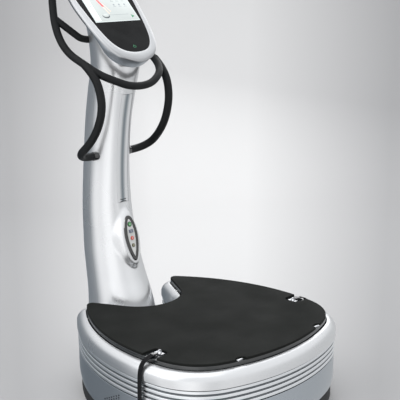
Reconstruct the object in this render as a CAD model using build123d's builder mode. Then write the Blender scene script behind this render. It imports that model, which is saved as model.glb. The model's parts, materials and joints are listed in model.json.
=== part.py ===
from build123d import *
import os
from math import atan2, cos, hypot, radians, sin, sqrt, tan

# Vibration plate for a gym: a drum-shaped base with a sprung, motor-driven platform, a bowed
# column behind it, a tilted console and a welded handlebar.
# Millimetres, +Z up. The user stands on the platform facing +Y, so the column is at +Y.
# The origin is on the floor, at the centre of the whole footprint.

os.makedirs("parts", exist_ok=True)

# ---- driving dimensions ------------------------------------------------------------------
WIDTH = 870.0                # over the rim of the drum
LENGTH = 1070.0              # front of the rim to the service cover behind the column
HEIGHT = 1550.0              # to the tips of the handlebar
MAT_TOP = 320.0              # standing surface above the floor

RIM_WIDTH = 38.0             # plan distance from the platform's edge to the outside of the rim
MAT_THICK = 8.0
MAT_ROUND = 2.5
PLATE_THICK = 14.0
PLATE_BOTTOM = MAT_TOP - MAT_THICK - PLATE_THICK

# plan outline of the platform: three big arcs, two corners, and a notch for the column
SIDE_CENTRE = (325.0, -178.0)                      # each side arc is centred across the middle
SIDE_RADIUS = WIDTH / 2 - RIM_WIDTH + SIDE_CENTRE[0]
FRONT_CENTRE_Y = 223.0
FRONT_RADIUS = FRONT_CENTRE_Y + LENGTH / 2 - RIM_WIDTH
CORNER_RADIUS = 200.0
NOTCH_Y, NOTCH_RADIUS = 240.0, 159.0
NOTCH_FLARE = 62.0                                 # degrees of the notch's straight sides
EAR_RADIUS = 22.0
NOTCH_FLOOR = ((-165, 60), (165, 60), (208, 292), (-208, 292))

# levels of the drum's rings
PLINTH_BOTTOM, SHELL_BOTTOM = 4.0, 30.0
SHELL_BEND, BAND_BOTTOM, CAP_BOTTOM = 100.0, 172.0, 245.0
SHELL_OUT, SHELL_FOOT_OUT, PLINTH_OUT, WALL = 33.0, 19.0, 10.0, 4.0
CAP_ROUND = 36.0
CAP_GAP = 3.0
RIB_COUNT, RIB_HEIGHT, RIB_CORE_OUT, RIB_OUT = 4, 10.0, 29.0, 34.0

# column: level, centre y, half width and half depth of its oval section
COLUMN = (
    (30, 345, 125, 150), (200, 345, 123, 149), (298, 358, 115, 138), (376, 380, 107, 128),
    (455, 400, 101, 120), (534, 414, 94, 113), (654, 425, 88, 104), (814, 422, 79.5, 99.5),
    (973, 406, 78, 99), (1090, 382, 82, 99), (1190, 358, 86, 99),
)
HOUSING = (
    (1190, 358, 86, 99), (1290, 362, 92, 100), (1380, 388, 94, 92), (1470, 428, 84, 62),
)
COLUMN_WALL = 4.0
COLUMN_TOP = COLUMN[-1][0]
INSERT_LOW, INSERT_HIGH, INSERT_HALF = 664.0, 1084.0, 27.0

# console: its face is a plane tilted 45 degrees, measured from the lower tip of the glass
FACE_TIP = (0.0, 230.0, 1245.0)
FACE_TILT = 45.0
RIM_DEPTH, TUB_DEPTH, TUB_INSET = 14.5, 56.0, 5.0
BEZEL_HALF = (
    (0, -39), (68, -19), (111, 23), (134, 90), (149, 180), (154, 255), (143, 318), (96, 368), (0, 386),
)
GLASS_HALF = (
    (0, 0), (56, 12), (92, 51), (112, 112), (127, 200), (133, 260), (123, 312), (82, 345), (0, 357),
)
SCREEN_LOW, SCREEN_SIZE = 146.0, (214.0, 160.0)

# control pod low on the front of the column
POD_LOW, POD_HIGH = (260.0, 443.0), (305.0, 614.0)     # y, z of its two tips
POD_HALF_WIDTH = 31.0

# handlebar
TUBE_RADIUS, GRIP_RADIUS, BRACE_RADIUS = 11.0, 15.0, 13.0
END_CAP = 5.0
BAR_TIP = (192.0, 478.0, HEIGHT - END_CAP)
BAR_HALF = (
    (192, 478, 1400), (190, 458, 1305), (184, 408, 1240), (172, 325, 1202),
    (150, 274, 1170), (110, 240, 1148), (46, 217, 1122),
)
LOWER_BAR = (
    (70, 392, 846), (182, 389, 845), (171, 284, 936), (165, 240, 1040),
    (168, 250, 1125), (170, 290, 1178), (172, 326, 1202),
)
BRACE = ((191, 470, 1362), (107, 418, 1284), (62, 426, 1280))

# drive under the platform
MOTOR_X, MOTOR_Y, MOTOR_Z = 165.0, -130.0, 205.0
MOTOR_RADIUS, MOTOR_LENGTH, MOTOR_WALL = 70.0, 230.0, 8.0
SHAFT_RADIUS, RUNNING_GAP = 14.0, 0.05
ISOLATOR_X, ISOLATOR_FRONT, ISOLATOR_REAR = 285.0, -330.0, 48.0
ISOLATOR_LOW, ISOLATOR_HIGH, ISOLATOR_RADIUS = 175.0, 255.0, 34.0
BEAM_LOW = 278.0

# straps at the sides of the platform
STRAP_Y, STRAP_WIDTH, STRAP_THICK = -236.0, 19.0, 2.5
STRAP_ROUTE = (
    (384.0, 318.0), (409.0, 314.0), (430.0, 297.0), (437.5, 268.0),
    (438.5, 225.0), (439.0, 165.0), (439.5, 112.0),
)
GRIP_TUBE_RADIUS, GRIP_TUBE_LENGTH, GRIP_TUBE_Z = 15.0, 120.0, 30.0


# ---- helpers -----------------------------------------------------------------------------
def drum_outline(grow):
    """Plan outline of the platform, moved outward by grow."""
    notch_radius = NOTCH_RADIUS - grow
    flare = radians(NOTCH_FLARE)
    start = (notch_radius * sin(flare), NOTCH_Y - notch_radius * cos(flare))
    reach = 420.0
    end = (start[0] + reach * cos(flare), start[1] + reach * sin(flare))
    with BuildSketch(mode=Mode.PRIVATE) as plan:
        with Locations((0, FRONT_CENTRE_Y)):
            Circle(FRONT_RADIUS + grow)
        for side in (-1, 1):
            with Locations((side * SIDE_CENTRE[0], SIDE_CENTRE[1])):
                Circle(SIDE_RADIUS + grow, mode=Mode.INTERSECT)
        corners = plan.vertices().sort_by(Axis.Y)[:2]
        fillet(corners, CORNER_RADIUS + grow)
        with Locations((0, NOTCH_Y)):
            Circle(notch_radius, mode=Mode.SUBTRACT)
        with BuildLine():
            Polyline((-start[0], start[1]), start, end, (-end[0], end[1]), close=True)
        make_face(mode=Mode.SUBTRACT)
        ears = plan.vertices().group_by(Axis.Y)[-1]
        fillet(ears, EAR_RADIUS + grow)
    return plan.sketch


def ground_outline(grow):
    """Plan outline at the floor: the drum, the floor of its notch, and the foot of the column."""
    with BuildSketch(mode=Mode.PRIVATE) as plan:
        add(drum_outline(grow))
        with BuildLine():
            Polyline(*[(x, y + grow) for x, y in NOTCH_FLOOR], close=True)
        make_face()
        with Locations((0, COLUMN[0][1])):
            Ellipse(COLUMN[0][2] + grow - COLUMN_WALL, COLUMN[0][3] + grow - COLUMN_WALL)
    return plan.sketch


def half_curve(points, inset=0.0):
    """Closed outline from the right half of a shape symmetric about local x = 0, moved inward."""
    low, high, wide = points[0][1], points[-1][1], max(x for x, y in points)
    middle, tall = (low + high) / 2, (high - low) / 2
    moved = []
    for x, y in points:
        slope = Vector(x / wide**2, (y - middle) / tall**2).normalized()
        moved.append((x - inset * slope.X, y - inset * slope.Y))
    mirrored = [(-x, y) for x, y in moved[-2:0:-1]]
    with BuildSketch(mode=Mode.PRIVATE) as shape:
        with BuildLine():
            Spline(*moved, *mirrored, periodic=True)
        make_face()
    return shape.sketch


def oval_loft(stations, shrink):
    """Lofted body through oval sections at the given stations, shrunk by a wall thickness."""
    with BuildPart(mode=Mode.PRIVATE) as body:
        for level, centre_y, half_width, half_depth in stations:
            with BuildSketch(Plane.XY.offset(level)):
                with Locations((0, centre_y)):
                    Ellipse(half_width - shrink, half_depth - shrink)
        loft()
    return body.part


def smooth_radii(points):
    """Fillet radius at each inner corner: 0.45 of the shorter run over the half-turn's tangent."""
    radii = []
    for before, corner, after in zip(points, points[1:], points[2:]):
        run_in = Vector(*corner) - Vector(*before)
        run_out = Vector(*after) - Vector(*corner)
        half_turn = radians(run_in.get_angle(run_out)) / 2
        radii.append(0.45 * min(run_in.length, run_out.length) / tan(half_turn))
    return radii


def bent_bar(points, radius, bore=0.0):
    """Round bar or tube along straight runs joined by tangent arcs."""
    with BuildPart(mode=Mode.PRIVATE) as bar:
        with BuildLine() as path:
            FilletPolyline(*points, radius=smooth_radii(points))
        with BuildSketch(Plane(origin=path.line @ 0, z_dir=path.line % 0)):
            Circle(radius)
            if bore:
                Circle(bore, mode=Mode.SUBTRACT)
        sweep(path=path.line)
    return bar.part


def flip(points, side):
    """The same points on the left (-1) or the right (1)."""
    return [(side * x, y, z) for x, y, z in points]


def save(part, name):
    part.label = name
    export_step(part, f"parts/{name}.step")


SIDES = (("left", -1), ("right", 1))
face_slope = radians(FACE_TILT)
face = Plane(origin=FACE_TIP, x_dir=(1, 0, 0), z_dir=(0, -sin(face_slope), cos(face_slope)))
pod_rise = hypot(POD_HIGH[0] - POD_LOW[0], POD_HIGH[1] - POD_LOW[1])
pod_lean = atan2(POD_HIGH[0] - POD_LOW[0], POD_HIGH[1] - POD_LOW[1])
pod = Plane(
    origin=(0, (POD_LOW[0] + POD_HIGH[0]) / 2, (POD_LOW[1] + POD_HIGH[1]) / 2),
    x_dir=(1, 0, 0), z_dir=(0, -cos(pod_lean), sin(pod_lean)),
)
isolator_spots = [(side * ISOLATOR_X, y) for side in (-1, 1) for y in (ISOLATOR_FRONT, ISOLATOR_REAR)]
foot_spots = [(-270, -330), (270, -330), (-270, 120), (270, 120), (0, 400)]

# ---- base frame, plinth and feet ---------------------------------------------------------
FRAME_THICK, FRAME_IN, POST_RADIUS, BEAM_WIDTH, BEAM_SHIFT = 8.0, -6.0, 38.0, 40.0, 25.0
FRAME_TOP = SHELL_BOTTOM
with BuildPart() as base_frame:
    with BuildSketch(Plane.XY.offset(FRAME_TOP - FRAME_THICK)):
        add(ground_outline(FRAME_IN))
    extrude(amount=FRAME_THICK)
    with BuildSketch(Plane.XY.offset(FRAME_TOP)):
        with Locations(*isolator_spots):
            Circle(POST_RADIUS)
    extrude(amount=ISOLATOR_LOW - FRAME_TOP)
    with BuildSketch(Plane.XY.offset(FRAME_TOP)):
        for y in (ISOLATOR_FRONT, ISOLATOR_REAR):
            with Locations((0, y - BEAM_SHIFT)):
                Rectangle(2 * ISOLATOR_X, BEAM_WIDTH)
    extrude(amount=BEAM_WIDTH)
save(base_frame.part, "base_frame")

with BuildPart() as plinth_skirt:
    with BuildSketch(Plane.XY.offset(PLINTH_BOTTOM)):
        add(ground_outline(PLINTH_OUT))
        add(ground_outline(FRAME_IN), mode=Mode.SUBTRACT)
    extrude(amount=SHELL_BOTTOM - PLINTH_BOTTOM)
save(plinth_skirt.part, "plinth_skirt")

PAD_RADIUS, PAD_HEIGHT, STUD_RADIUS = 30.0, 12.0, 6.0
with BuildPart() as foot_pads:
    with BuildSketch():
        with Locations(*foot_spots):
            Circle(PAD_RADIUS)
    extrude(amount=PAD_HEIGHT)
    chamfer(foot_pads.edges().group_by(Axis.Z)[-1], 3)
save(foot_pads.part, "foot_pads")

with BuildPart() as foot_studs:
    with BuildSketch(Plane.XY.offset(PAD_HEIGHT)):
        with Locations(*foot_spots):
            Circle(STUD_RADIUS)
    extrude(amount=FRAME_TOP - FRAME_THICK - PAD_HEIGHT)
    with BuildSketch(Plane.XY.offset(PAD_HEIGHT)):
        with Locations(*foot_spots):
            RegularPolygon(11, 6)
    extrude(amount=6)
save(foot_studs.part, "foot_studs")

# ---- drum shell: lower panel, ribbed band, rounded rim -----------------------------------
with BuildPart() as side_shell:
    for level, grow in ((SHELL_BOTTOM, SHELL_FOOT_OUT), (SHELL_BEND, SHELL_OUT)):
        with BuildSketch(Plane.XY.offset(level)):
            add(drum_outline(grow))
    loft(ruled=True)
    with BuildSketch(Plane.XY.offset(SHELL_BEND)):
        add(drum_outline(SHELL_OUT))
    extrude(amount=BAND_BOTTOM - SHELL_BEND)
    for level, grow in ((SHELL_BOTTOM + WALL, SHELL_FOOT_OUT), (SHELL_BEND, SHELL_OUT)):
        with BuildSketch(Plane.XY.offset(level)):
            add(drum_outline(grow - WALL))
    loft(ruled=True, mode=Mode.SUBTRACT)
    with BuildSketch(Plane.XY.offset(SHELL_BEND)):
        add(drum_outline(SHELL_OUT - WALL))
    extrude(amount=BAND_BOTTOM - SHELL_BEND, mode=Mode.SUBTRACT)
    with BuildSketch(Plane.XY.offset(SHELL_BOTTOM)):
        add(drum_outline(0))
    extrude(amount=WALL, mode=Mode.SUBTRACT)
save(side_shell.part, "side_shell")

with BuildPart() as rib_band:
    with BuildSketch(Plane.XY.offset(BAND_BOTTOM)):
        add(drum_outline(RIB_CORE_OUT))
    extrude(amount=CAP_BOTTOM - BAND_BOTTOM)
    rib_pitch = (CAP_BOTTOM - BAND_BOTTOM) / RIB_COUNT
    for rib in range(RIB_COUNT):
        with BuildSketch(Plane.XY.offset(BAND_BOTTOM + rib * rib_pitch + (rib_pitch - RIB_HEIGHT) / 2)):
            add(drum_outline(RIB_OUT))
        extrude(amount=RIB_HEIGHT)
    with BuildSketch(Plane.XY.offset(BAND_BOTTOM)):
        add(drum_outline(RIB_CORE_OUT - WALL))
    extrude(amount=CAP_BOTTOM - BAND_BOTTOM, mode=Mode.SUBTRACT)
save(rib_band.part, "rib_band")

with BuildPart() as top_cap:
    with BuildSketch(Plane.XY.offset(CAP_BOTTOM)):
        add(drum_outline(RIM_WIDTH))
    extrude(amount=PLATE_BOTTOM - CAP_BOTTOM)
    fillet(top_cap.faces().sort_by(Axis.Z)[-1].outer_wire().edges(), CAP_ROUND)
    with BuildSketch(Plane.XY.offset(CAP_BOTTOM)):
        add(drum_outline(CAP_GAP))
    extrude(amount=PLATE_BOTTOM - CAP_BOTTOM, mode=Mode.SUBTRACT)
    with BuildSketch(Plane.XY.offset(CAP_BOTTOM)):
        add(drum_outline(RIM_WIDTH - WALL))
    extrude(amount=24, mode=Mode.SUBTRACT)
save(top_cap.part, "top_cap")

# ---- rubber isolators and motor drive ----------------------------------------------------
with BuildPart() as rubber_isolators:
    with BuildSketch(Plane.XY.offset(ISOLATOR_LOW)):
        with Locations(*isolator_spots):
            Circle(ISOLATOR_RADIUS)
    extrude(amount=ISOLATOR_HIGH - ISOLATOR_LOW)
    with Locations(*[(x, y, (ISOLATOR_LOW + ISOLATOR_HIGH) / 2) for x, y in isolator_spots]):
        Torus(ISOLATOR_RADIUS + 2, 12, mode=Mode.SUBTRACT)
save(rubber_isolators.part, "rubber_isolators")

DRIVE_Y = -432.0
with BuildPart() as motor_drive:
    with BuildSketch(Plane.XY.offset(FRAME_TOP)):
        with Locations((0, DRIVE_Y)):
            RectangleRounded(220, 90, 8)
    extrude(amount=90)
    with BuildSketch(Plane.XY.offset(FRAME_TOP + 90)):
        with Locations((0, DRIVE_Y)):
            with GridLocations(16, 0, 11, 1):
                Rectangle(6, 74)
    extrude(amount=18)
save(motor_drive.part, "motor_drive")

# ---- platform ----------------------------------------------------------------------------
FRONT_NOTCH_X, FRONT_NOTCH_WIDTH, FRONT_NOTCH_DEPTH = 203.0, 44.0, 16.0
SIDE_NOTCH_WIDTH, SIDE_NOTCH_DEPTH = 62.0, 66.0
with BuildPart() as vibration_plate:
    with BuildSketch(Plane.XY.offset(PLATE_BOTTOM)):
        add(drum_outline(0))
    extrude(amount=PLATE_THICK)
    chamfer(vibration_plate.faces().sort_by(Axis.Z)[-1].outer_wire().edges(), 1.5)
save(vibration_plate.part, "vibration_plate")

with BuildPart() as platform_mat:
    with BuildSketch(Plane.XY.offset(MAT_TOP - MAT_THICK)):
        add(drum_outline(-0.5))
        for side in (-1, 1):
            edge_x = SIDE_RADIUS - SIDE_CENTRE[0]
            with Locations((side * edge_x, STRAP_Y)):
                RectangleRounded(2 * SIDE_NOTCH_DEPTH, SIDE_NOTCH_WIDTH, 18, mode=Mode.SUBTRACT)
            edge_y = FRONT_CENTRE_Y - sqrt(FRONT_RADIUS**2 - FRONT_NOTCH_X**2)
            with Locations((side * FRONT_NOTCH_X, edge_y)):
                Ellipse(FRONT_NOTCH_WIDTH / 2, FRONT_NOTCH_DEPTH, mode=Mode.SUBTRACT)
    extrude(amount=MAT_THICK)
    fillet(platform_mat.faces().sort_by(Axis.Z)[-1].outer_wire().edges(), MAT_ROUND)
save(platform_mat.part, "platform_mat")

with BuildPart() as plate_subframe:
    with BuildSketch(Plane.XY.offset(BEAM_LOW)):
        for y in (ISOLATOR_FRONT, ISOLATOR_REAR):
            with Locations((0, y)):
                Rectangle(2 * ISOLATOR_X + 90, 46)
        for side in (-1, 1):
            with Locations((side * ISOLATOR_X, (ISOLATOR_FRONT + ISOLATOR_REAR) / 2)):
                Rectangle(46, ISOLATOR_REAR - ISOLATOR_FRONT)
            with Locations((side * MOTOR_X, (ISOLATOR_FRONT + ISOLATOR_REAR) / 2)):
                Rectangle(64, ISOLATOR_REAR - ISOLATOR_FRONT)
    extrude(amount=PLATE_BOTTOM - BEAM_LOW)
    with BuildSketch(Plane.XY.offset(ISOLATOR_HIGH)):
        with Locations(*isolator_spots):
            Circle(ISOLATOR_RADIUS + 4)
    extrude(amount=BEAM_LOW - ISOLATOR_HIGH)
save(plate_subframe.part, "plate_subframe")

EYELET_X, EYELET_BASE, EYELET_RING, EYELET_WIRE = 348.0, (16, 34, 4), 9.0, 2.5
plate_top = MAT_TOP - MAT_THICK
with BuildPart() as strap_eyelets:
    for side in (-1, 1):
        with Locations((side * EYELET_X, STRAP_Y, plate_top + EYELET_BASE[2])):
            Torus(EYELET_RING, EYELET_WIRE, rotation=(90, 0, 90))
        with Locations((side * EYELET_X, STRAP_Y, plate_top - EYELET_RING)):
            Box(40, 60, 2 * EYELET_RING, mode=Mode.SUBTRACT)
        with Locations((side * EYELET_X, STRAP_Y, plate_top + EYELET_BASE[2] / 2)):
            Box(*EYELET_BASE)
        with Locations((side * FRONT_NOTCH_X, edge_y + 7, plate_top + 2)):
            Box(24, 6, 4)
save(strap_eyelets.part, "strap_eyelets")

# ---- straps and their clips, one at each side --------------------------------------------
CLIP_START, CLIP_HEIGHT = 361.0, 9.0
print("strap radii, mm:", [round(radius, 1) for radius in smooth_radii([(x, 0, z) for x, z in STRAP_ROUTE])])
for side_name, side in SIDES:
    clip_length = STRAP_ROUTE[0][0] - CLIP_START - 0.5
    with BuildPart() as strap_clip:
        with Locations((side * (CLIP_START + clip_length / 2), STRAP_Y, STRAP_ROUTE[0][1])):
            Box(clip_length, STRAP_WIDTH, CLIP_HEIGHT)
        fillet(strap_clip.edges(), 2.5)
    save(strap_clip.part, f"strap_clip_{side_name}")

    route = [(side * x, STRAP_Y, z) for x, z in STRAP_ROUTE]
    with BuildPart() as strap:
        with BuildLine() as strap_line:
            FilletPolyline(*route, radius=smooth_radii(route))
        with BuildSketch(Plane(origin=route[0], x_dir=(0, 1, 0), z_dir=strap_line.line % 0)):
            Rectangle(STRAP_WIDTH, STRAP_THICK)
        sweep(path=strap_line.line)
    save(strap.part, f"strap_{side_name}")

    # the strap's end is a sewn loop of the same webbing, through a foam hand grip
    loop_top = STRAP_ROUTE[-1][1] - 0.3
    loop_x = side * STRAP_ROUTE[-1][0]
    half_grip = GRIP_TUBE_LENGTH / 2
    loop_plane = Plane(origin=(loop_x, STRAP_Y, 0), x_dir=(0, 1, 0), z_dir=(1, 0, 0))
    with BuildPart() as strap_grip:
        with BuildSketch(loop_plane.offset(-STRAP_WIDTH / 2)):
            with BuildLine():
                Polyline((-9, loop_top), (9, loop_top), (half_grip + 4, GRIP_TUBE_Z - 2),
                         (-half_grip - 4, GRIP_TUBE_Z - 2), close=True)
            make_face()
            with BuildLine():
                Polyline((0, loop_top - 4), (half_grip, GRIP_TUBE_Z + 1),
                         (-half_grip, GRIP_TUBE_Z + 1), close=True)
            make_face(mode=Mode.SUBTRACT)
        extrude(amount=STRAP_WIDTH)
        with BuildSketch(Plane(origin=(loop_x, STRAP_Y - half_grip, 0), x_dir=(1, 0, 0), z_dir=(0, 1, 0))):
            with Locations((0, -GRIP_TUBE_Z)):
                Circle(GRIP_TUBE_RADIUS)
        extrude(amount=GRIP_TUBE_LENGTH)
    save(strap_grip.part, f"strap_grip_{side_name}")

# ---- vibration motors --------------------------------------------------------------------
MOTOR_BORE = MOTOR_RADIUS - MOTOR_WALL
BEARING_RADIUS, BEARING_WIDTH = 26.0, 14.0
WEIGHT_RADIUS, WEIGHT_LENGTH = 52.0, 34.0
END_WALL = 16.0


def motor_plane(setback):
    """Upright plane, setback mm behind the motors' front end; its local y points down."""
    return Plane(
        origin=(0, MOTOR_Y - MOTOR_LENGTH / 2 + setback, 0), x_dir=(1, 0, 0), z_dir=(0, 1, 0)
    )


for side_name, side in SIDES:
    axis_spot = (side * MOTOR_X, -MOTOR_Z)
    with BuildPart() as motor_housing:
        with BuildSketch(motor_plane(0)):
            with Locations(axis_spot):
                Circle(MOTOR_RADIUS)
        extrude(amount=MOTOR_LENGTH)
        with BuildSketch(Plane.XY.offset(MOTOR_Z + 40)):
            with Locations((side * MOTOR_X, MOTOR_Y)):
                Rectangle(110, MOTOR_LENGTH - 50)
        extrude(amount=BEAM_LOW - MOTOR_Z - 40)
        with BuildSketch(motor_plane(WALL)):
            with Locations(axis_spot):
                Circle(MOTOR_BORE)
        extrude(amount=MOTOR_LENGTH - 2 * WALL, mode=Mode.SUBTRACT)
        for setback in (WALL + WEIGHT_LENGTH + 6, MOTOR_LENGTH - WALL - WEIGHT_LENGTH - 6 - END_WALL):
            with BuildSketch(motor_plane(setback)):
                with Locations(axis_spot):
                    Circle(MOTOR_BORE)
                    Circle(BEARING_RADIUS, mode=Mode.SUBTRACT)
            extrude(amount=END_WALL)
    save(motor_housing.part, f"motor_housing_{side_name}")

    with BuildPart() as motor_shaft:
        with BuildSketch(motor_plane(WALL + 2)):
            with Locations(axis_spot):
                Circle(SHAFT_RADIUS)
        extrude(amount=MOTOR_LENGTH - 2 * WALL - 4)
        core_start = WALL + WEIGHT_LENGTH + 6 + END_WALL + 4
        with BuildSketch(motor_plane(core_start)):
            with Locations(axis_spot):
                Circle(MOTOR_BORE - 14)
        extrude(amount=MOTOR_LENGTH - 2 * core_start)
    save(motor_shaft.part, f"motor_shaft_{side_name}")

    with BuildPart() as eccentric_weights:
        for setback in (WALL + 3, MOTOR_LENGTH - WALL - 3 - WEIGHT_LENGTH):
            with BuildSketch(motor_plane(setback)):
                with Locations(axis_spot):
                    Circle(WEIGHT_RADIUS)
                with Locations((side * MOTOR_X, -MOTOR_Z - WEIGHT_RADIUS / 2 - 8)):
                    Rectangle(2 * WEIGHT_RADIUS, WEIGHT_RADIUS, mode=Mode.SUBTRACT)
                with Locations(axis_spot):
                    Circle(SHAFT_RADIUS + 8)
                    Circle(SHAFT_RADIUS, mode=Mode.SUBTRACT)
            extrude(amount=WEIGHT_LENGTH)
    save(eccentric_weights.part, f"eccentric_weights_{side_name}")

with BuildPart() as motor_bearings:
    for setback in (WALL + WEIGHT_LENGTH + 7, MOTOR_LENGTH - WALL - WEIGHT_LENGTH - 7 - BEARING_WIDTH):
        with BuildSketch(motor_plane(setback)):
            with Locations((-MOTOR_X, -MOTOR_Z), (MOTOR_X, -MOTOR_Z)):
                Circle(BEARING_RADIUS)
                Circle(SHAFT_RADIUS + RUNNING_GAP, mode=Mode.SUBTRACT)
        extrude(amount=BEARING_WIDTH)
save(motor_bearings.part, "motor_bearings")

# ---- column ------------------------------------------------------------------------------
def rear_half():
    """Everything behind the column's centre line, as a cutter."""
    with BuildPart(mode=Mode.PRIVATE) as cutter:
        with BuildSketch(Plane.YZ.offset(-200)):
            with BuildLine():
                centre_line = Spline(*[(station[1], station[0]) for station in COLUMN])
                Polyline(centre_line @ 1, (COLUMN[-1][1], 1600), (900, 1600), (900, -50),
                         (COLUMN[0][1], -50), centre_line @ 0)
            make_face()
        extrude(amount=400)
    return cutter.part


def below_face(depth):
    """Half space under the console's face, depth mm below it."""
    with BuildPart(mode=Mode.PRIVATE) as cutter:
        with BuildSketch(face.offset(-depth)):
            with Locations((0, 100)):
                Rectangle(700, 1300)
        extrude(amount=-1200)
    return cutter.part


def leaf_outline(inset):
    """Outline of the control pod: round at its top, pointed at its foot."""
    half = pod_rise / 2 - inset
    wide = POD_HALF_WIDTH - inset
    with BuildSketch(mode=Mode.PRIVATE) as leaf:
        with BuildLine():
            for side in (-1, 1):
                Spline((0, half), (side * wide, 0.15 * half), (0, -half),
                       tangents=[(side * 0.7, 0), (-side * 0.4, -1)])
        make_face()
    return leaf.sketch


column_outer = oval_loft(COLUMN, 0)
column_inner = oval_loft(COLUMN, COLUMN_WALL)
behind = rear_half()
POD_PROUD, POD_DEEP, POD_INSET = 4.0, 28.0, 8.0
with BuildPart() as pod_block:
    with BuildSketch(pod.offset(-POD_DEEP)):
        add(leaf_outline(0))
    extrude(amount=POD_DEEP + POD_PROUD)

with BuildPart() as insert_slot:
    with BuildSketch(Plane.XY.offset(INSERT_LOW)):
        with Locations((0, 200)):
            Rectangle(2 * INSERT_HALF, 300)
    extrude(amount=INSERT_HIGH - INSERT_LOW)

with BuildPart() as bar_hole:
    with Locations((0, *LOWER_BAR[0][1:])):
        Cylinder(TUBE_RADIUS + 2, 300, rotation=(0, 90, 0))

with BuildPart() as column_front_cover:
    add(column_outer)
    add(column_inner, mode=Mode.SUBTRACT)
    add(behind, mode=Mode.SUBTRACT)
    add(insert_slot.part, mode=Mode.SUBTRACT)
    add(pod_block.part, mode=Mode.SUBTRACT)
    add(bar_hole.part, mode=Mode.SUBTRACT)
save(column_front_cover.part, "column_front_cover")

INLET_Y, INLET_Z, INLET_SIZE = 494.0, 105.0, (62.0, 50.0)
inlet_face = Plane(origin=(0, INLET_Y, INLET_Z), x_dir=(-1, 0, 0), z_dir=(0, 1, 0))
with BuildPart() as column_rear_cover:
    add(column_outer)
    add(column_inner, mode=Mode.SUBTRACT)
    add(behind, mode=Mode.INTERSECT)
    with BuildSketch(inlet_face.offset(-60)):
        Rectangle(INLET_SIZE[0] - 12, INLET_SIZE[1] - 12)
    extrude(amount=90, mode=Mode.SUBTRACT)
    with BuildSketch(inlet_face):
        Rectangle(INLET_SIZE[0] + 1, INLET_SIZE[1] + 1)
    extrude(amount=20, mode=Mode.SUBTRACT)
    add(bar_hole.part, mode=Mode.SUBTRACT)
save(column_rear_cover.part, "column_rear_cover")

SERVICE_LOW, SERVICE_HIGH, SERVICE_HALF = 540.0, 800.0, 42.0
service_thick = LENGTH / 2 - column_outer.bounding_box().max.Y
with BuildPart() as service_cover:
    add(oval_loft(COLUMN, -service_thick))
    add(column_outer, mode=Mode.SUBTRACT)
    with BuildSketch(Plane.XY.offset(SERVICE_LOW)):
        with Locations((0, 500)):
            Rectangle(2 * SERVICE_HALF, 150)
    extrude(amount=SERVICE_HIGH - SERVICE_LOW, mode=Mode.INTERSECT)
save(service_cover.part, "service_cover")

INSERT_RECESS = 2.5
with BuildPart() as spine_insert:
    add(oval_loft(COLUMN, INSERT_RECESS))
    add(oval_loft(COLUMN, INSERT_RECESS + COLUMN_WALL), mode=Mode.SUBTRACT)
    with BuildSketch(Plane.XY.offset(INSERT_LOW + 0.3)):
        with Locations((0, 200)):
            Rectangle(2 * INSERT_HALF - 0.6, 300)
    extrude(amount=INSERT_HIGH - INSERT_LOW - 0.6, mode=Mode.INTERSECT)
save(spine_insert.part, "spine_insert")

MAST_SIZE, MAST_WALL, MAST_FOOT = (70.0, 90.0), 5.0, (160.0, 170.0)
MAST_ROUTE = ((0, 340, 44), (0, 345, 230), (0, 398, 470), (0, 420, 740), (0, 404, 960), (0, 366, 1200))
with BuildPart() as column_mast:
    with BuildLine() as mast_line:
        FilletPolyline(*MAST_ROUTE, radius=smooth_radii(MAST_ROUTE))
    with BuildSketch(Plane(origin=MAST_ROUTE[0], x_dir=(1, 0, 0), z_dir=mast_line.line % 0)):
        RectangleRounded(*MAST_SIZE, 8)
        RectangleRounded(MAST_SIZE[0] - 2 * MAST_WALL, MAST_SIZE[1] - 2 * MAST_WALL, 4, mode=Mode.SUBTRACT)
    sweep(path=mast_line.line)
    with BuildSketch(Plane.XY.offset(FRAME_TOP)):
        with Locations((0, MAST_ROUTE[0][1])):
            RectangleRounded(*MAST_FOOT, 10)
    extrude(amount=FRAME_THICK + 6)
save(column_mast.part, "column_mast")

BOLT_HEAD, BOLT_HEAD_HEIGHT = 10.0, 8.0
with BuildPart() as mast_bolts:
    with BuildSketch(Plane.XY.offset(FRAME_TOP + FRAME_THICK + 6)):
        with Locations((0, MAST_ROUTE[0][1])):
            with GridLocations(MAST_FOOT[0] - 30, MAST_FOOT[1] - 30, 2, 2):
                RegularPolygon(BOLT_HEAD, 6)
    extrude(amount=BOLT_HEAD_HEIGHT)
save(mast_bolts.part, "mast_bolts")

# ---- mains inlet and rocker switch -------------------------------------------------------
ROCKER_X, ROCKER_SIZE = -17.0, (14.0, 24.0)
ROCKER_PIVOT, PIN_RADIUS, PIN_PROUD = -4.0, 2.0, 0.4
with BuildPart() as power_inlet:
    with BuildSketch(inlet_face):
        RectangleRounded(*INLET_SIZE, 4)
    extrude(amount=3)
    with BuildSketch(inlet_face):
        Rectangle(INLET_SIZE[0] - 14, INLET_SIZE[1] - 14)
    extrude(amount=-36)
    with BuildSketch(inlet_face.offset(3)):
        with Locations((10, 0)):
            RectangleRounded(24, 20, 3)
    extrude(amount=-20, mode=Mode.SUBTRACT)
    with BuildSketch(inlet_face.offset(3)):
        with Locations((ROCKER_X, 0)):
            Rectangle(ROCKER_SIZE[0] + 1, ROCKER_SIZE[1] + 2)
    extrude(amount=-20, mode=Mode.SUBTRACT)
    with BuildSketch(inlet_face.offset(-17)):
        with Locations((4, 0), (10, 0), (16, 0)):
            Rectangle(1.5, 5)
    extrude(amount=14)
save(power_inlet.part, "power_inlet")

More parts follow.
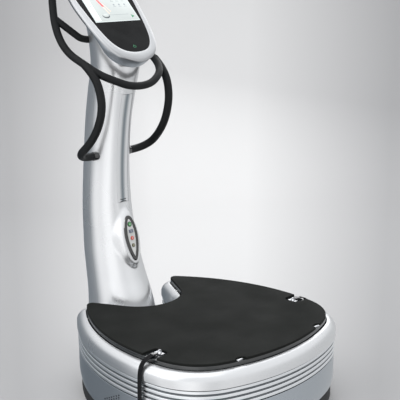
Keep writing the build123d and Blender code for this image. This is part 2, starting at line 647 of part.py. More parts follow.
rocker_side = Plane(origin=(-ROCKER_X, INLET_Y, INLET_Z), x_dir=(0, 1, 0), z_dir=(1, 0, 0))
with BuildPart() as power_rocker:
    with BuildSketch(rocker_side.offset(-ROCKER_SIZE[0] / 2)):
        with BuildLine():
            Polyline((-6, 8), (-6, -8), (4, -ROCKER_SIZE[1] / 2), (4.6, 0), (4, ROCKER_SIZE[1] / 2), close=True)
        make_face()
    extrude(amount=ROCKER_SIZE[0])
    with BuildSketch(rocker_side.offset(-ROCKER_SIZE[0] / 2 - PIN_PROUD)):
        with Locations((ROCKER_PIVOT, 0)):
            Circle(PIN_RADIUS)
    extrude(amount=ROCKER_SIZE[0] + 2 * PIN_PROUD)
save(power_rocker.part, "power_rocker")

# ---- control pod -------------------------------------------------------------------------
BUTTONS = {"start_button": (54, 7.5), "stop_button": (0, 7.0), "repeat_button": (-28, 6.5)}
LEVEL_KEY_Y, LEVEL_KEY = 27.0, (18.0, 12.0)
KEY_GAP, KEY_PROUD, PANEL_TOP, PANEL_THICK = 0.4, 3.0, 2.0, 3.0
with BuildPart() as pod_bezel:
    add(pod_block.part)
    with BuildSketch(pod.offset(PANEL_TOP - PANEL_THICK)):
        add(leaf_outline(POD_INSET))
    extrude(amount=20, mode=Mode.SUBTRACT)
    with BuildSketch(pod.offset(-POD_DEEP)):
        add(leaf_outline(POD_INSET + 4))
    extrude(amount=POD_DEEP, mode=Mode.SUBTRACT)
save(pod_bezel.part, "pod_bezel")

with BuildPart() as pod_panel:
    with BuildSketch(pod.offset(PANEL_TOP - PANEL_THICK)):
        add(leaf_outline(POD_INSET))
        for spot_y, radius in BUTTONS.values():
            with Locations((0, spot_y)):
                Circle(radius + KEY_GAP, mode=Mode.SUBTRACT)
        with Locations((0, LEVEL_KEY_Y)):
            Rectangle(LEVEL_KEY[0] + 2 * KEY_GAP, LEVEL_KEY[1] + 2 * KEY_GAP, mode=Mode.SUBTRACT)
    extrude(amount=PANEL_THICK)
save(pod_panel.part, "pod_panel")

for name, (spot_y, radius) in BUTTONS.items():
    with BuildPart() as button:
        with BuildSketch(pod.offset(PANEL_TOP - PANEL_THICK - 4)):
            with Locations((0, spot_y)):
                Circle(radius)
        extrude(amount=PANEL_THICK + 4 + KEY_PROUD)
        fillet(button.edges().group_by(Axis.Y)[0].group_by(SortBy.LENGTH)[-1], 1)
    save(button.part, name)

with BuildPart() as level_button:
    with BuildSketch(pod.offset(PANEL_TOP - PANEL_THICK - 4)):
        with Locations((0, LEVEL_KEY_Y)):
            Rectangle(*LEVEL_KEY)
    extrude(amount=PANEL_THICK + 4 + KEY_PROUD)
save(level_button.part, "level_button")

with BuildPart() as pod_board:
    with BuildSketch(pod.offset(-POD_DEEP + 2)):
        add(leaf_outline(POD_INSET + 5))
    extrude(amount=1.6)
save(pod_board.part, "pod_board")

# ---- console -----------------------------------------------------------------------------
bezel_outline = half_curve(BEZEL_HALF)
glass_outline = half_curve(GLASS_HALF)
GLASS_THICK, GLASS_GAP, TUB_WALL = 4.0, 0.4, 4.0
with BuildPart() as console_bezel:
    with BuildSketch(face.offset(-RIM_DEPTH)):
        add(bezel_outline)
    extrude(amount=RIM_DEPTH + 1)
    fillet(console_bezel.faces().sort_by(Axis(FACE_TIP, tuple(face.z_dir)))[-1].outer_wire().edges(), 11)
    with BuildSketch(face.offset(-RIM_DEPTH)):
        add(glass_outline)
    extrude(amount=RIM_DEPTH + 2, mode=Mode.SUBTRACT)
save(console_bezel.part, "console_bezel")

with BuildPart() as console_glass:
    with BuildSketch(face.offset(-GLASS_THICK)):
        add(half_curve(GLASS_HALF, GLASS_GAP))
    extrude(amount=GLASS_THICK)
save(console_glass.part, "console_glass")

with BuildPart() as console_tub:
    with BuildSketch(face.offset(-TUB_DEPTH)):
        add(half_curve(BEZEL_HALF, TUB_INSET))
    extrude(amount=TUB_DEPTH - RIM_DEPTH)
    with BuildSketch(face.offset(-TUB_DEPTH + TUB_WALL)):
        add(half_curve(BEZEL_HALF, TUB_INSET + TUB_WALL))
    extrude(amount=TUB_DEPTH, mode=Mode.SUBTRACT)
save(console_tub.part, "console_tub")

SCREEN_MIDDLE = SCREEN_LOW + SCREEN_SIZE[1] / 2
LCD_THICK, BOARD_SIZE = 9.0, (150.0, 110.0)
with BuildPart() as lcd_module:
    with BuildSketch(face.offset(-GLASS_THICK - LCD_THICK)):
        with Locations((0, SCREEN_MIDDLE)):
            Rectangle(SCREEN_SIZE[0] + 14, SCREEN_SIZE[1] + 14)
    extrude(amount=LCD_THICK)
save(lcd_module.part, "lcd_module")

with BuildPart() as console_board:
    with BuildSketch(face.offset(-GLASS_THICK - LCD_THICK - 12)):
        with Locations((0, SCREEN_MIDDLE)):
            Rectangle(*BOARD_SIZE)
    extrude(amount=1.6)
    with BuildSketch(face.offset(-GLASS_THICK - LCD_THICK - 12)):
        with Locations((0, SCREEN_MIDDLE)):
            with GridLocations(60, 50, 2, 2):
                Rectangle(26, 22)
    extrude(amount=-4)
save(console_board.part, "console_board")

with BuildPart() as console_housing:
    add(oval_loft(HOUSING, 0))
    add(oval_loft(HOUSING, COLUMN_WALL), mode=Mode.SUBTRACT)
    add(below_face(TUB_DEPTH), mode=Mode.INTERSECT)
save(console_housing.part, "console_housing")

with BuildPart() as console_bracket:
    with BuildSketch(face.offset(-TUB_DEPTH - 6)):
        with Locations((0, 150)):
            RectangleRounded(120, 150, 8)
    extrude(amount=6)
    with BuildSketch(Plane.XY.offset(COLUMN_TOP + 10)):
        with Locations((0, MAST_ROUTE[-1][1])):
            RectangleRounded(50, 70, 4)
    extrude(amount=140)
    add(below_face(TUB_DEPTH + 1), mode=Mode.INTERSECT)
    add(column_mast.part, mode=Mode.SUBTRACT)
save(console_bracket.part, "console_bracket")

# ---- handlebar ---------------------------------------------------------------------------
upper_route = [BAR_TIP, *BAR_HALF]
upper_route += flip(upper_route[::-1], -1)
upper_bar = bent_bar(upper_route, TUBE_RADIUS)
upper_skin = bent_bar(upper_route, GRIP_RADIUS)

with BuildPart() as upper_tube:
    add(bent_bar(upper_route, TUBE_RADIUS, TUBE_RADIUS - 2.5))
save(upper_tube.part, "upper_bar_tube")

lower_bars = {}
for side_name, side in SIDES:
    route = flip(LOWER_BAR, side)
    lower_bars[side_name] = bent_bar(route, TUBE_RADIUS)
    with BuildPart() as lower_tube:
        add(bent_bar(route, TUBE_RADIUS, TUBE_RADIUS - 2.5))
        add(upper_bar, mode=Mode.SUBTRACT)
    save(lower_tube.part.solids().sort_by(SortBy.VOLUME)[-1], f"lower_bar_tube_{side_name}")

    with BuildPart() as lower_grip:
        add(bent_bar(route, GRIP_RADIUS))
        add(lower_bars[side_name], mode=Mode.SUBTRACT)
        add(upper_skin, mode=Mode.SUBTRACT)
        add(oval_loft(COLUMN, -1.0), mode=Mode.SUBTRACT)
    save(lower_grip.part.solids().sort_by(SortBy.VOLUME)[-1], f"lower_bar_grip_{side_name}")

brace_bars = [bent_bar(flip(BRACE, side), BRACE_RADIUS) for side in (-1, 1)]
with BuildPart() as upper_grip:
    add(upper_skin)
    add(upper_bar, mode=Mode.SUBTRACT)
    for lower_bar in lower_bars.values():
        add(lower_bar, mode=Mode.SUBTRACT)
save(upper_grip.part, "upper_bar_grip")

with BuildPart() as bar_braces:
    for brace in brace_bars:
        add(brace)
    add(upper_skin, mode=Mode.SUBTRACT)
    add(oval_loft(HOUSING, 0), mode=Mode.SUBTRACT)
save(bar_braces.part, "bar_braces")

CAP_SEAT = 0.1
with BuildPart() as bar_end_caps:
    for side in (-1, 1):
        with Locations((side * BAR_TIP[0], BAR_TIP[1], HEIGHT - (END_CAP - CAP_SEAT) / 2)):
            Cylinder(GRIP_RADIUS - 0.5, END_CAP - CAP_SEAT)
    fillet(bar_end_caps.edges().group_by(Axis.Z)[-1], 3)
save(bar_end_caps.part, "bar_end_caps")
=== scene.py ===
import json
from math import asin, atan2, ceil, copysign, cos, hypot, pi, radians, sin, sqrt

import bpy
from mathutils import Matrix, Vector


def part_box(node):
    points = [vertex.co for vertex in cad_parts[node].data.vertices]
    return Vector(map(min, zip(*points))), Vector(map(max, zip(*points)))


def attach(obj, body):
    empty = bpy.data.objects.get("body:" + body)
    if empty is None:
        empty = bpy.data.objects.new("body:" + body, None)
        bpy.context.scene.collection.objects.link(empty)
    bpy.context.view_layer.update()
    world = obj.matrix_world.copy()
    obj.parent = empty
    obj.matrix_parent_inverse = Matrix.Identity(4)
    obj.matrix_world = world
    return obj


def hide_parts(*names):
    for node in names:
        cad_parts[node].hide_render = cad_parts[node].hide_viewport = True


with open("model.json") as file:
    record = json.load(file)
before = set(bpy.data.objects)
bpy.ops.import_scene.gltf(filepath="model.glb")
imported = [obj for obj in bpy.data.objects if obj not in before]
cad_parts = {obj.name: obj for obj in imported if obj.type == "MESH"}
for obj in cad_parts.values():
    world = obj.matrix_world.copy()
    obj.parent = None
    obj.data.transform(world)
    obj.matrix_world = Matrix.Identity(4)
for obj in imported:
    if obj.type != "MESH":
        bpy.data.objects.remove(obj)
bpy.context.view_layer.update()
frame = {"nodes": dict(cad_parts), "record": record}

# Vibration plate: the visual model, in metres, +Z up, the user stands facing +Y.
MM = 0.001

# ---- sizes that follow the frame ---------------------------------------------------------
cap_low, cap_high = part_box("top_cap")
plate_low, plate_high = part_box("vibration_plate")
band_low, band_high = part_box("rib_band")
shell_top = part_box("side_shell")[1].z
RIM_WIDTH = plate_low.y - cap_low.y
COVER_WALL = 4 * MM

# the drum's rings: how far they stand out from the platform's edge, and their levels
CAP_GAP, CAP_ROUND, CAP_SKIRT = 3 * MM, 36 * MM, 28 * MM
BAND_RIBS, BAND_GROOVE, BAND_CORE = 4, 6.5 * MM, 28.5 * MM
RIB_OUT, RIB_ROUND = 34 * MM, 3.2 * MM
SHELL_OUT, SHELL_TUCK, SHELL_FOOT, SHELL_BEND = 33 * MM, 6 * MM, 56 * MM, 104 * MM
PLINTH_OUT, PLINTH_BACK, PLINTH_LOW, PLINTH_TOP = 25 * MM, 12 * MM, 4 * MM, 57 * MM

SIDE_CENTRE = Vector((-325 * MM, -178 * MM))       # centre of the right side's arc
FRONT_CENTRE = Vector((0, 223 * MM))
SIDE_RADIUS = plate_high.x - SIDE_CENTRE.x
FRONT_RADIUS = FRONT_CENTRE.y - plate_low.y
CORNER_RADIUS = 200 * MM
NOTCH_CENTRE, NOTCH_RADIUS = Vector((0, 240 * MM)), 159 * MM
NOTCH_FLARE = radians(62)
EAR_RADIUS = 22 * MM

# level, centre y, half width and half depth of the column's section; the console's neck goes on
COLUMN = (
    (30, 345, 125, 150), (200, 345, 123, 149), (298, 358, 115, 138), (376, 380, 107, 128),
    (455, 400, 101, 120), (534, 414, 94, 113), (654, 425, 88, 104), (814, 422, 79.5, 99.5),
    (973, 406, 78, 99), (1090, 382, 82, 99), (1190, 358, 86, 99), (1290, 362, 92, 100),
    (1380, 388, 94, 92), (1470, 428, 84, 62),
)
COLUMN_TOP = 1190 * MM
SEAM = 0.003                                       # half the gap between the covers, as an angle
# the front cover's middle, which keeps its width, and the soft groove down it
MIDDLE_HALF, MIDDLE_SHARE = 36 * MM, 0.4
FLUTE_DEPTH, FLUTE_HALF = 6.5 * MM, 34 * MM
FLUTE_LOW, FLUTE_LOW_FADE, FLUTE_HIGH, FLUTE_HIGH_FADE = 612 * MM, 50 * MM, 1160 * MM, 110 * MM
# the flat pocket for the mains inlet at the back
INLET_HALF, INLET_LOW, INLET_HIGH, INLET_Y = 32 * MM, 79 * MM, 131 * MM, 482 * MM
# the lip and the rolled edge where the neck meets the console
LIP_OUT, LIP_TALL, ROLL_OUT, ROLL_TALL = 7 * MM, 34 * MM, 2.5 * MM, 5 * MM

FACE_TIP = Vector((0, 230 * MM, 1245 * MM))
FACE_TILT = radians(45)
FACE_UP = Vector((0, cos(FACE_TILT), sin(FACE_TILT)))
FACE_OUT = Vector((0, -sin(FACE_TILT), cos(FACE_TILT)))
BEZEL_HALF = (
    (0, -39), (68, -19), (111, 23), (134, 90), (149, 180), (154, 255), (143, 318), (96, 368), (0, 386),
)
GLASS_HALF = (
    (0, 0), (56, 12), (92, 51), (112, 112), (127, 200), (133, 260), (123, 312), (82, 345), (0, 357),
)
RIM_DEPTH, TUB_DEPTH, TUB_HEAD = 14.5 * MM, 56 * MM, 26 * MM
SCREEN_LOW, SCREEN_WIDE, SCREEN_TALL = 146 * MM, 214 * MM, 160 * MM

POD_LOW, POD_HIGH = Vector((0, 260 * MM, 443 * MM)), Vector((0, 305 * MM, 614 * MM))
POD_HALF_WIDTH = 31 * MM
POD_UP = (POD_HIGH - POD_LOW).normalized()
POD_OUT = Vector((0, -POD_UP.z, POD_UP.y))
POD_MIDDLE = (POD_LOW + POD_HIGH) / 2
POD_HALF = (POD_HIGH - POD_LOW).length / 2
# the oval swelling under the pod, and the thin ledge round the pod's frame
BOSS_HALF_WIDTH, BOSS_HALF_LENGTH, BOSS_SUNK, BOSS_FADE = 35 * MM, 92 * MM, 1.0 * MM, 30 * MM
LEDGE_HIGH, LEDGE_REACH, LEDGE_FADE = 0.8 * MM, 22 * MM, 3 * MM

INSERT_LOW, INSERT_HIGH, INSERT_HALF, INSERT_POCKET = 664 * MM, 1084 * MM, 27 * MM, 7 * MM
INSERT_EDGE = MIDDLE_SHARE * INSERT_HALF / MIDDLE_HALF + 0.006

GRIP_RADIUS, BRACE_RADIUS = 15 * MM, 13 * MM
BAR_HALF = (
    (192, 478, 1545), (192, 478, 1400), (190, 458, 1305), (184, 408, 1240), (172, 325, 1202),
    (150, 274, 1170), (110, 240, 1148), (46, 217, 1122),
)
LOWER_BAR = (
    (76, 392, 846), (182, 389, 845), (171, 284, 936), (165, 240, 1040),
    (168, 250, 1125), (170, 290, 1178), (172, 326, 1202),
)
BRACE = ((191, 470, 1362), (128, 432, 1303), (107, 418, 1284), (62, 426, 1280))

STRAP_Y, STRAP_WIDTH, STRAP_THICK = -236 * MM, 19 * MM, 2.4 * MM
STRAP_ROUTE = (
    (384.0, 318.0), (409.0, 314.0), (430.0, 297.0), (437.5, 268.0),
    (438.5, 225.0), (439.0, 165.0), (439.5, 112.0),
)
STITCH_LENGTH, STITCH_PITCH, STITCH_LIFT, STITCH_ROW = 3.2 * MM, 5.0 * MM, 1.35 * MM, 7.2 * MM
GRIP_TUBE_RADIUS, GRIP_TUBE_HALF, GRIP_TUBE_Z = 15 * MM, 60 * MM, 30 * MM
SIDES = (("left", -1), ("right", 1))

CAMERA_PLACE, CAMERA_LENS, CAMERA_SENSOR = (-2.3787, -2.3976, 1.5879), 87.08, 36.0
CAMERA_TURN, CAMERA_TILT = radians(45.793), radians(14.264)

# the floor's painted pool of light, a pale wedge: its apex, and the slopes between which it fades
LIGHT_POOL_APEX, LIGHT_POOL_FADE = Vector((-2.38, -2.40, 0)), (0.05, 0.2)


# ---- camera ------------------------------------------------------------------------------
def add_object(name, data):
    made = bpy.data.objects.new(name, data)
    bpy.context.scene.collection.objects.link(made)
    return made


def make_camera():
    data = bpy.data.cameras.new("camera")
    data.sensor_width, data.lens = CAMERA_SENSOR, CAMERA_LENS
    camera = add_object("camera", data)
    camera.location = CAMERA_PLACE
    camera.rotation_euler = (pi / 2 - CAMERA_TILT, 0, -CAMERA_TURN)
    bpy.context.scene.camera = camera
    bpy.context.scene.view_settings.view_transform = "Standard"


make_camera()


# ---- node materials ----------------------------------------------------------------------
class Nodes:
    """Adds nodes to a tree, a material's or the world's, and links them."""

    def __init__(self, tree):
        self.tree = tree

    def node(self, kind, **inputs):
        made = self.tree.nodes.new(kind)
        for socket, value in inputs.items():
            made.inputs[socket.replace("_", " ")].default_value = value
        return made

    def link(self, a, b):
        self.tree.links.new(a, b)

    def split(self, vector):
        made = self.node("ShaderNodeSeparateXYZ")
        self.link(vector, made.inputs["Vector"])
        return made.outputs

    def math(self, operation, *values):
        made = self.node("ShaderNodeMath")
        made.operation = operation
        for socket, value in zip(made.inputs, values):
            self.link(value, socket)
        return made.outputs["Value"]

    def remap(self, factor, start, end, low=0.0, high=1.0):
        made = self.node("ShaderNodeMapRange", From_Min=start, From_Max=end, To_Min=low, To_Max=high)
        self.link(factor, made.inputs["Value"])
        return made.outputs["Result"]

    def blend(self, factor, first, other):
        """From first, a colour or a socket, to the colour other as factor rises."""
        made = self.node("ShaderNodeMix")
        made.data_type = "RGBA"
        self.link(factor, made.inputs["Factor"])
        if isinstance(first, tuple):
            made.inputs[6].default_value = first
        else:
            self.link(first, made.inputs[6])
        made.inputs[7].default_value = (*other, 1)
        return made.outputs[2]


class Surface(Nodes):
    """A principled material that is built up one node at a time."""

    def __init__(self, name, color, metallic=0.0, roughness=0.5, **constants):
        self.name = name
        self.material = bpy.data.materials.new(name)
        self.material.use_nodes = True
        super().__init__(self.material.node_tree)
        self.shader = self.tree.nodes["Principled BSDF"]
        self.color = (*color, 1)
        self.shader.inputs["Base Color"].default_value = self.color
        self.shader.inputs["Metallic"].default_value = metallic
        self.shader.inputs["Roughness"].default_value = roughness
        for socket, value in constants.items():
            self.shader.inputs[socket.replace("_", " ")].default_value = value
        self.height = None

    def place(self, coordinates="Object", stretch=(1, 1, 1)):
        """Texture coordinates of the piece, in metres."""
        mapping = self.node("ShaderNodeMapping", Scale=stretch)
        self.link(self.node("ShaderNodeTexCoord").outputs[coordinates], mapping.inputs["Vector"])
        return mapping.outputs["Vector"]

    def noise(self, scale, detail=2.0, vector=None):
        made = self.node("ShaderNodeTexNoise", Scale=scale, Detail=detail)
        self.link(vector or self.place(), made.inputs["Vector"])
        return made.outputs["Fac"]

    def vary_color(self, factor, other, low=0.3, high=0.7):
        """Blends the colour towards another one where factor is high."""
        source = self.shader.inputs["Base Color"]
        first = source.links[0].from_socket if source.is_linked else self.color
        self.link(self.blend(self.remap(factor, low, high), first, other), source)

    def vary_roughness(self, factor, low, high):
        self.link(self.remap(factor, 0.3, 0.7, low, high), self.shader.inputs["Roughness"])

    def bump(self, factor, distance, strength=1.0):
        """Adds relief; each call goes on top of the last one."""
        made = self.node("ShaderNodeBump", Strength=strength, Distance=distance)
        self.link(factor, made.inputs["Height"])
        if self.height:
            self.link(self.height, made.inputs["Normal"])
        self.height = made.outputs["Normal"]
        self.link(self.height, self.shader.inputs["Normal"])


def lacquer(name, color, roughness, dark, coat=0.5):
    """Silver metallic lacquer: fine flakes and a soft change of gloss."""
    made = Surface(name, color, metallic=0.82, roughness=roughness, Coat_Weight=coat,
                   Coat_Roughness=0.12)
    made.vary_color(made.noise(2000, 1.0), dark, 0.45, 1.1)
    made.vary_roughness(made.noise(7, 1.0), roughness - 0.01, roughness + 0.03)
    return made


def reflection_striped_lacquer():
    """The column's lacquer with a painted dark reflection: a soft dark stripe down the bottom of its
    groove.
    """
    made = lacquer("grey_insert", (0.66, 0.67, 0.68), 0.28, (0.54, 0.55, 0.57))
    off_middle = made.math("ABSOLUTE", made.split(made.place())["X"])
    # painted reflection: darkest within 3 mm of the middle, fading out by 15 mm
    made.vary_color(off_middle, (0.20, 0.23, 0.25), 0.015, 0.003)
    return made


def ribbed_lacquer():
    """Lacquer of the ribbed band, with painted shade darkening its grooves."""
    made = lacquer("silver_band", (0.66, 0.68, 0.70), 0.30, (0.52, 0.54, 0.56))
    per_metre = BAND_RIBS / (band_high.z - band_low.z)
    place = made.place(stretch=(1, 1, per_metre))
    place.node.inputs["Location"].default_value = (0, 0, -band_low.z * per_metre)
    between = made.math("PINGPONG", made.split(place)["Z"])
    between.node.inputs[1].default_value = 0.5
    # painted shade: the colour turns near black towards each groove
    made.vary_color(between, (0.06, 0.07, 0.08), 0.22, 0.12)
    return made


def moulded(name, color, roughness, grain=900, depth=0.00008, **constants):
    """Moulded plastic or rubber with a fine grain."""
    made = Surface(name, color, roughness=roughness, **constants)
    lighter = tuple(min(1.0, c * 1.35 + 0.004) for c in color)
    made.vary_color(made.noise(14, 4.0), lighter, 0.35, 0.8)
    made.vary_roughness(made.noise(30, 3.0), roughness - 0.06, roughness + 0.06)
    made.bump(made.noise(grain, 2.0), depth, 0.5)
    return made


def metal(name, color, roughness, brushed=False):
    """Bare or plated metal, brushed along X or with a cast grain."""
    made = Surface(name, color, metallic=1.0, roughness=roughness)
    place = made.place(stretch=(1, 40, 40)) if brushed else made.place()
    grain = made.noise(60 if brushed else 500, 3.0, place)
    made.vary_roughness(grain, roughness - 0.06, roughness + 0.1)
    made.vary_color(made.noise(20, 3.0), tuple(c * 0.8 for c in color))
    made.bump(grain, 0.00003, 0.4)
    return made


def mat_rubber():
    """Rubber mat with a fine pebbled grain, and paler wear in large soft patches."""
    made = Surface("mat_rubber", (0.008, 0.0088, 0.0084), roughness=0.75, Specular_IOR_Level=0.05)
    pebble = made.node("ShaderNodeTexVoronoi", Scale=420.0)
    made.link(made.place(), pebble.inputs["Vector"])
    made.bump(pebble.outputs["Distance"], 0.0005, 0.55)
    made.bump(made.noise(160, 3.0), 0.0002, 0.35)
    made.vary_color(pebble.outputs["Distance"], (0.014, 0.015, 0.014), 0.0, 0.9)
    made.vary_color(made.noise(3.5, 4.0), (0.012, 0.013, 0.012), 0.35, 0.75)
    made.vary_roughness(made.noise(6, 4.0), 0.62, 0.78)
    return made


def webbing():
    """Woven strap: ribs across the width and twill along the length, from the strap's UVs."""
    made = Surface("webbing", (0.005, 0.005, 0.006), roughness=0.85, Specular_IOR_Level=0.15,
                   Sheen_Weight=0.02, Sheen_Roughness=0.5)
    place = made.place("UV")
    for axis in ("X", "Y"):
        wave = made.node("ShaderNodeTexWave", Scale=900 / (2 * pi))
        wave.bands_direction = axis
        made.link(place, wave.inputs["Vector"])
        made.bump(wave.outputs["Fac"], 0.0004, 0.5)
    made.vary_color(made.noise(220, 2.0, place), (0.011, 0.011, 0.012), 0.45, 0.8)
    return made


def foam_grip():
    """Black foam-rubber sleeve: open fine cells, hand-polished patches."""
    made = Surface("foam_grip", (0.006, 0.0065, 0.007), roughness=0.6, Specular_IOR_Level=0.16)
    made.bump(made.noise(1500, 2.0), 0.00012, 0.5)
    made.vary_color(made.noise(10, 3.0), (0.010, 0.011, 0.012), 0.35, 0.75)
    made.vary_roughness(made.noise(16, 3.0), 0.42, 0.62)
    return made


def screen_glow(name, color, strength):
    """Lit part of the display: an even glow over a faintly mottled colour."""
    made = Surface(name, color, roughness=0.25, Emission_Strength=strength)
    made.shader.inputs["Emission Color"].default_value = (*color, 1)
    made.vary_color(made.noise(12, 2.0), tuple(c * 0.93 for c in color), 0.4, 0.9)
    return made


SURFACES = (
    lacquer("silver_rim", (0.62, 0.63, 0.64), 0.28, (0.50, 0.51, 0.53), 0.4),
    lacquer("silver_bezel", (0.42, 0.43, 0.44), 0.30, (0.34, 0.35, 0.37), 0.2),
    lacquer("silver_column", (0.66, 0.67, 0.68), 0.28, (0.54, 0.55, 0.57)),
    ribbed_lacquer(),
    lacquer("silver_shell", (0.36, 0.39, 0.42), 0.36, (0.25, 0.28, 0.31), 0.25),
    reflection_striped_lacquer(),
    # painted shade: darker blue-grey copy of the band lacquer, for the tub under the bezel
    lacquer("console_band_painted_shade", (0.46, 0.50, 0.54), 0.32, (0.36, 0.40, 0.44), 0.4),
    mat_rubber(),
    moulded("black_plate", (0.012, 0.014, 0.015), 0.22, 700, 0.00002, Coat_Weight=0.5),
    moulded("black_plastic", (0.018, 0.018, 0.019), 0.5),
    moulded("black_gloss", (0.008, 0.008, 0.009), 0.14, 600, 0.00001, Coat_Weight=0.8),
    moulded("rubber", (0.016, 0.016, 0.016), 0.72, 700, 0.00015),
    foam_grip(),
    webbing(),
    moulded("thread", (0.02, 0.02, 0.022), 0.8, 2500, 0.00005),
    metal("zinc_steel", (0.58, 0.59, 0.61), 0.3, brushed=True),
    metal("ground_steel", (0.6, 0.6, 0.62), 0.25, brushed=True),
    metal("cast_aluminium", (0.5, 0.51, 0.52), 0.5),
    moulded("frame_steel", (0.02, 0.02, 0.022), 0.4, 500, 0.00008, Coat_Weight=0.2),
    moulded("light_panel", (0.55, 0.56, 0.55), 0.45),
    moulded("green_key", (0.03, 0.22, 0.05), 0.3, 900, 0.00003, Coat_Weight=0.4),
    moulded("red_key", (0.62, 0.06, 0.03), 0.3, 900, 0.00003, Coat_Weight=0.4),
    moulded("olive_key", (0.10, 0.09, 0.03), 0.3, 900, 0.00003, Coat_Weight=0.4),
    moulded("blue_key", (0.09, 0.11, 0.17), 0.3, 900, 0.00003, Coat_Weight=0.4),
    moulded("circuit_board", (0.01, 0.12, 0.05), 0.4),
    moulded("touch_glass", (0.005, 0.0055, 0.006), 0.12, 500, 0.000004, Specular_IOR_Level=0.08),
    screen_glow("lcd_panel", (0.50, 0.54, 0.53), 0.2),
    screen_glow("icon_green", (0.04, 0.26, 0.12), 0.05),
    screen_glow("icon_red", (0.85, 0.12, 0.12), 0.35),
    screen_glow("icon_grey", (0.30, 0.34, 0.36), 0.1),
    screen_glow("icon_pale", (0.62, 0.68, 0.67), 0.3),
    screen_glow("icon_mint", (0.72, 0.82, 0.80), 0.4),
    screen_glow("icon_peach", (0.85, 0.62, 0.50), 0.35),
    screen_glow("icon_dark", (0.08, 0.09, 0.10), 0.0),
    moulded("dark_hole", (0.006, 0.006, 0.007), 0.8),
)
MATERIALS = {made.name: made.material for made in SURFACES}


def paint_frame():
    """Gives every CAD node the procedural material of its record slot."""
    slots = {part["node"]: part["material_slot"] for part in frame["record"]["subparts"]}
    for name, node in frame["nodes"].items():
        node.data.materials.clear()
        node.data.materials.append(MATERIALS[slots[name]])


paint_frame()


# ---- mesh helpers ------------------------------------------------------------------------
def make_piece(name, points, faces, material, body="root", slot=None, replaces=(), sharp=32):
    mesh = bpy.data.meshes.new(name)
    mesh.from_pydata([tuple(p) for p in points], [], faces)
    mesh.validate()
    mesh.materials.append(MATERIALS[material])
    mesh.shade_smooth()
    mesh.set_sharp_from_angle(angle=radians(sharp))
    piece = add_object(name, mesh)
    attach(piece, body)
    if replaces:
        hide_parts(*replaces)
    return piece


def loft(name, rings, material, around=True, along=False, caps=False, **extra):
    """Quads between rings of the same length; around and along close the two directions."""
    count = len(rings[0])
    points = [p for ring in rings for p in ring]
    faces = []
    for i in range(len(rings) if along else len(rings) - 1):
        low, high = i * count, (i + 1) % len(rings) * count
        for j in range(count if around else count - 1):
            k = (j + 1) % count
            faces.append((low + j, low + k, high + k, high + j))
    if caps:
        faces.append(tuple(reversed(range(count))))
        faces.append(tuple(range(len(points) - count, len(points))))
    return make_piece(name, points, faces, material, **extra)


def smooth_step(t):
    t = min(1.0, max(0.0, t))
    return t * t * (3 - 2 * t)


def spline_point(a, b, c, d, t):
    """A point between b and c on the smooth curve through all four (Catmull-Rom)."""
    return 0.5 * (2 * b + (c - a) * t + (2 * a - 5 * b + 4 * c - d) * t**2
                  + (3 * b - a - 3 * c + d) * t**3)


def curve_through(points, steps):
    """Points on a smooth curve through the given ones."""
    points = [Vector(p) for p in points]
    ends = [2 * points[0] - points[1], *points, 2 * points[-1] - points[-2]]
    line = [spline_point(*four, i / steps)
            for four in zip(ends, ends[1:], ends[2:], ends[3:]) for i in range(steps)]
    return [*line, points[-1]]


def nurbs_points(controls, resolution):
    """Points on the smooth NURBS line of the control points."""
    data = bpy.data.curves.new("line", "CURVE")
    data.dimensions, data.resolution_u = "3D", resolution
    spline = data.splines.new("NURBS")
    spline.points.add(len(controls) - 1)
    for point, control in zip(spline.points, controls):
        point.co = (*control, 1)
    spline.order_u = 3
    spline.use_endpoint_u = True
    line = bpy.data.objects.new("line", data)
    mesh = bpy.data.meshes.new_from_object(line)
    points = [vertex.co.copy() for vertex in mesh.vertices]
    bpy.data.objects.remove(line)
    bpy.data.meshes.remove(mesh)
    return points


def circle(centre, side, other, radius, steps):
    """Points round a centre, from the direction of side towards other."""
    turns = [2 * pi * i / steps for i in range(steps)]
    return [centre + (side * cos(t) + other * sin(t)) * radius for t in turns]


def turned(name, profile, origin, axis, material, steps=40, **extra):
    """A solid of revolution from (radius, distance along the axis) pairs."""
    axis = axis.normalized()
    side = axis.orthogonal().normalized()
    other = axis.cross(side)
    rings = [circle(origin + axis * along, side, other, max(radius, 0.02 * MM), steps)
             for radius, along in profile]
    return loft(name, rings, material, caps=True, **extra)


def slab(name, outer, inner, material, **extra):
    """A closed sheet between two grids of points of the same size."""
    rows, cols = len(outer), len(outer[0])
    points = [p for row in outer for p in row] + [p for row in inner for p in row]
    back = rows * cols
    faces = []
    for i in range(rows - 1):
        for j in range(cols - 1):
            a, b = i * cols + j, (i + 1) * cols + j
            faces.append((a, a + 1, b + 1, b))
            faces.append((back + a, back + b, back + b + 1, back + a + 1))
    border = [j for j in range(cols)] + [i * cols + cols - 1 for i in range(1, rows)]
    border += [(rows - 1) * cols + j for j in range(cols - 2, -1, -1)]
    border += [i * cols for i in range(rows - 2, 0, -1)]
    for a, b in zip(border, border[1:] + border[:1]):
        faces.append((b, a, back + a, back + b))
    return make_piece(name, points, faces, material, **extra)


def sweep_tube(name, controls, radius, material, steps=28, **extra):
    """Round bar along the NURBS line of its control points, in millimetres."""
    points = nurbs_points([[c * MM for c in control] for control in controls], 16)
    normal = None
    rings = []
    for i, point in enumerate(points):
        ahead = (points[min(i + 1, len(points) - 1)] - points[max(i - 1, 0)]).normalized()
        normal = ahead.orthogonal() if normal is None else normal - ahead * normal.dot(ahead)
        normal.normalize()
        rings.append(circle(point, normal, ahead.cross(normal), radius, steps))
    return loft(name, rings, material, caps=True, **extra)


def closed_curve(half, steps):
    """Smooth closed loop (x, y), in metres, from the right half of a symmetric shape."""
    right = [Vector((x * MM, y * MM)) for x, y in half]
    loop = right + [Vector((-p.x, p.y)) for p in right[-2:0:-1]]
    fours = [[loop[(k + j - 1) % len(loop)] for j in range(4)] for k in range(len(loop))]
    return [spline_point(*four, i / steps) for four in fours for i in range(steps)]


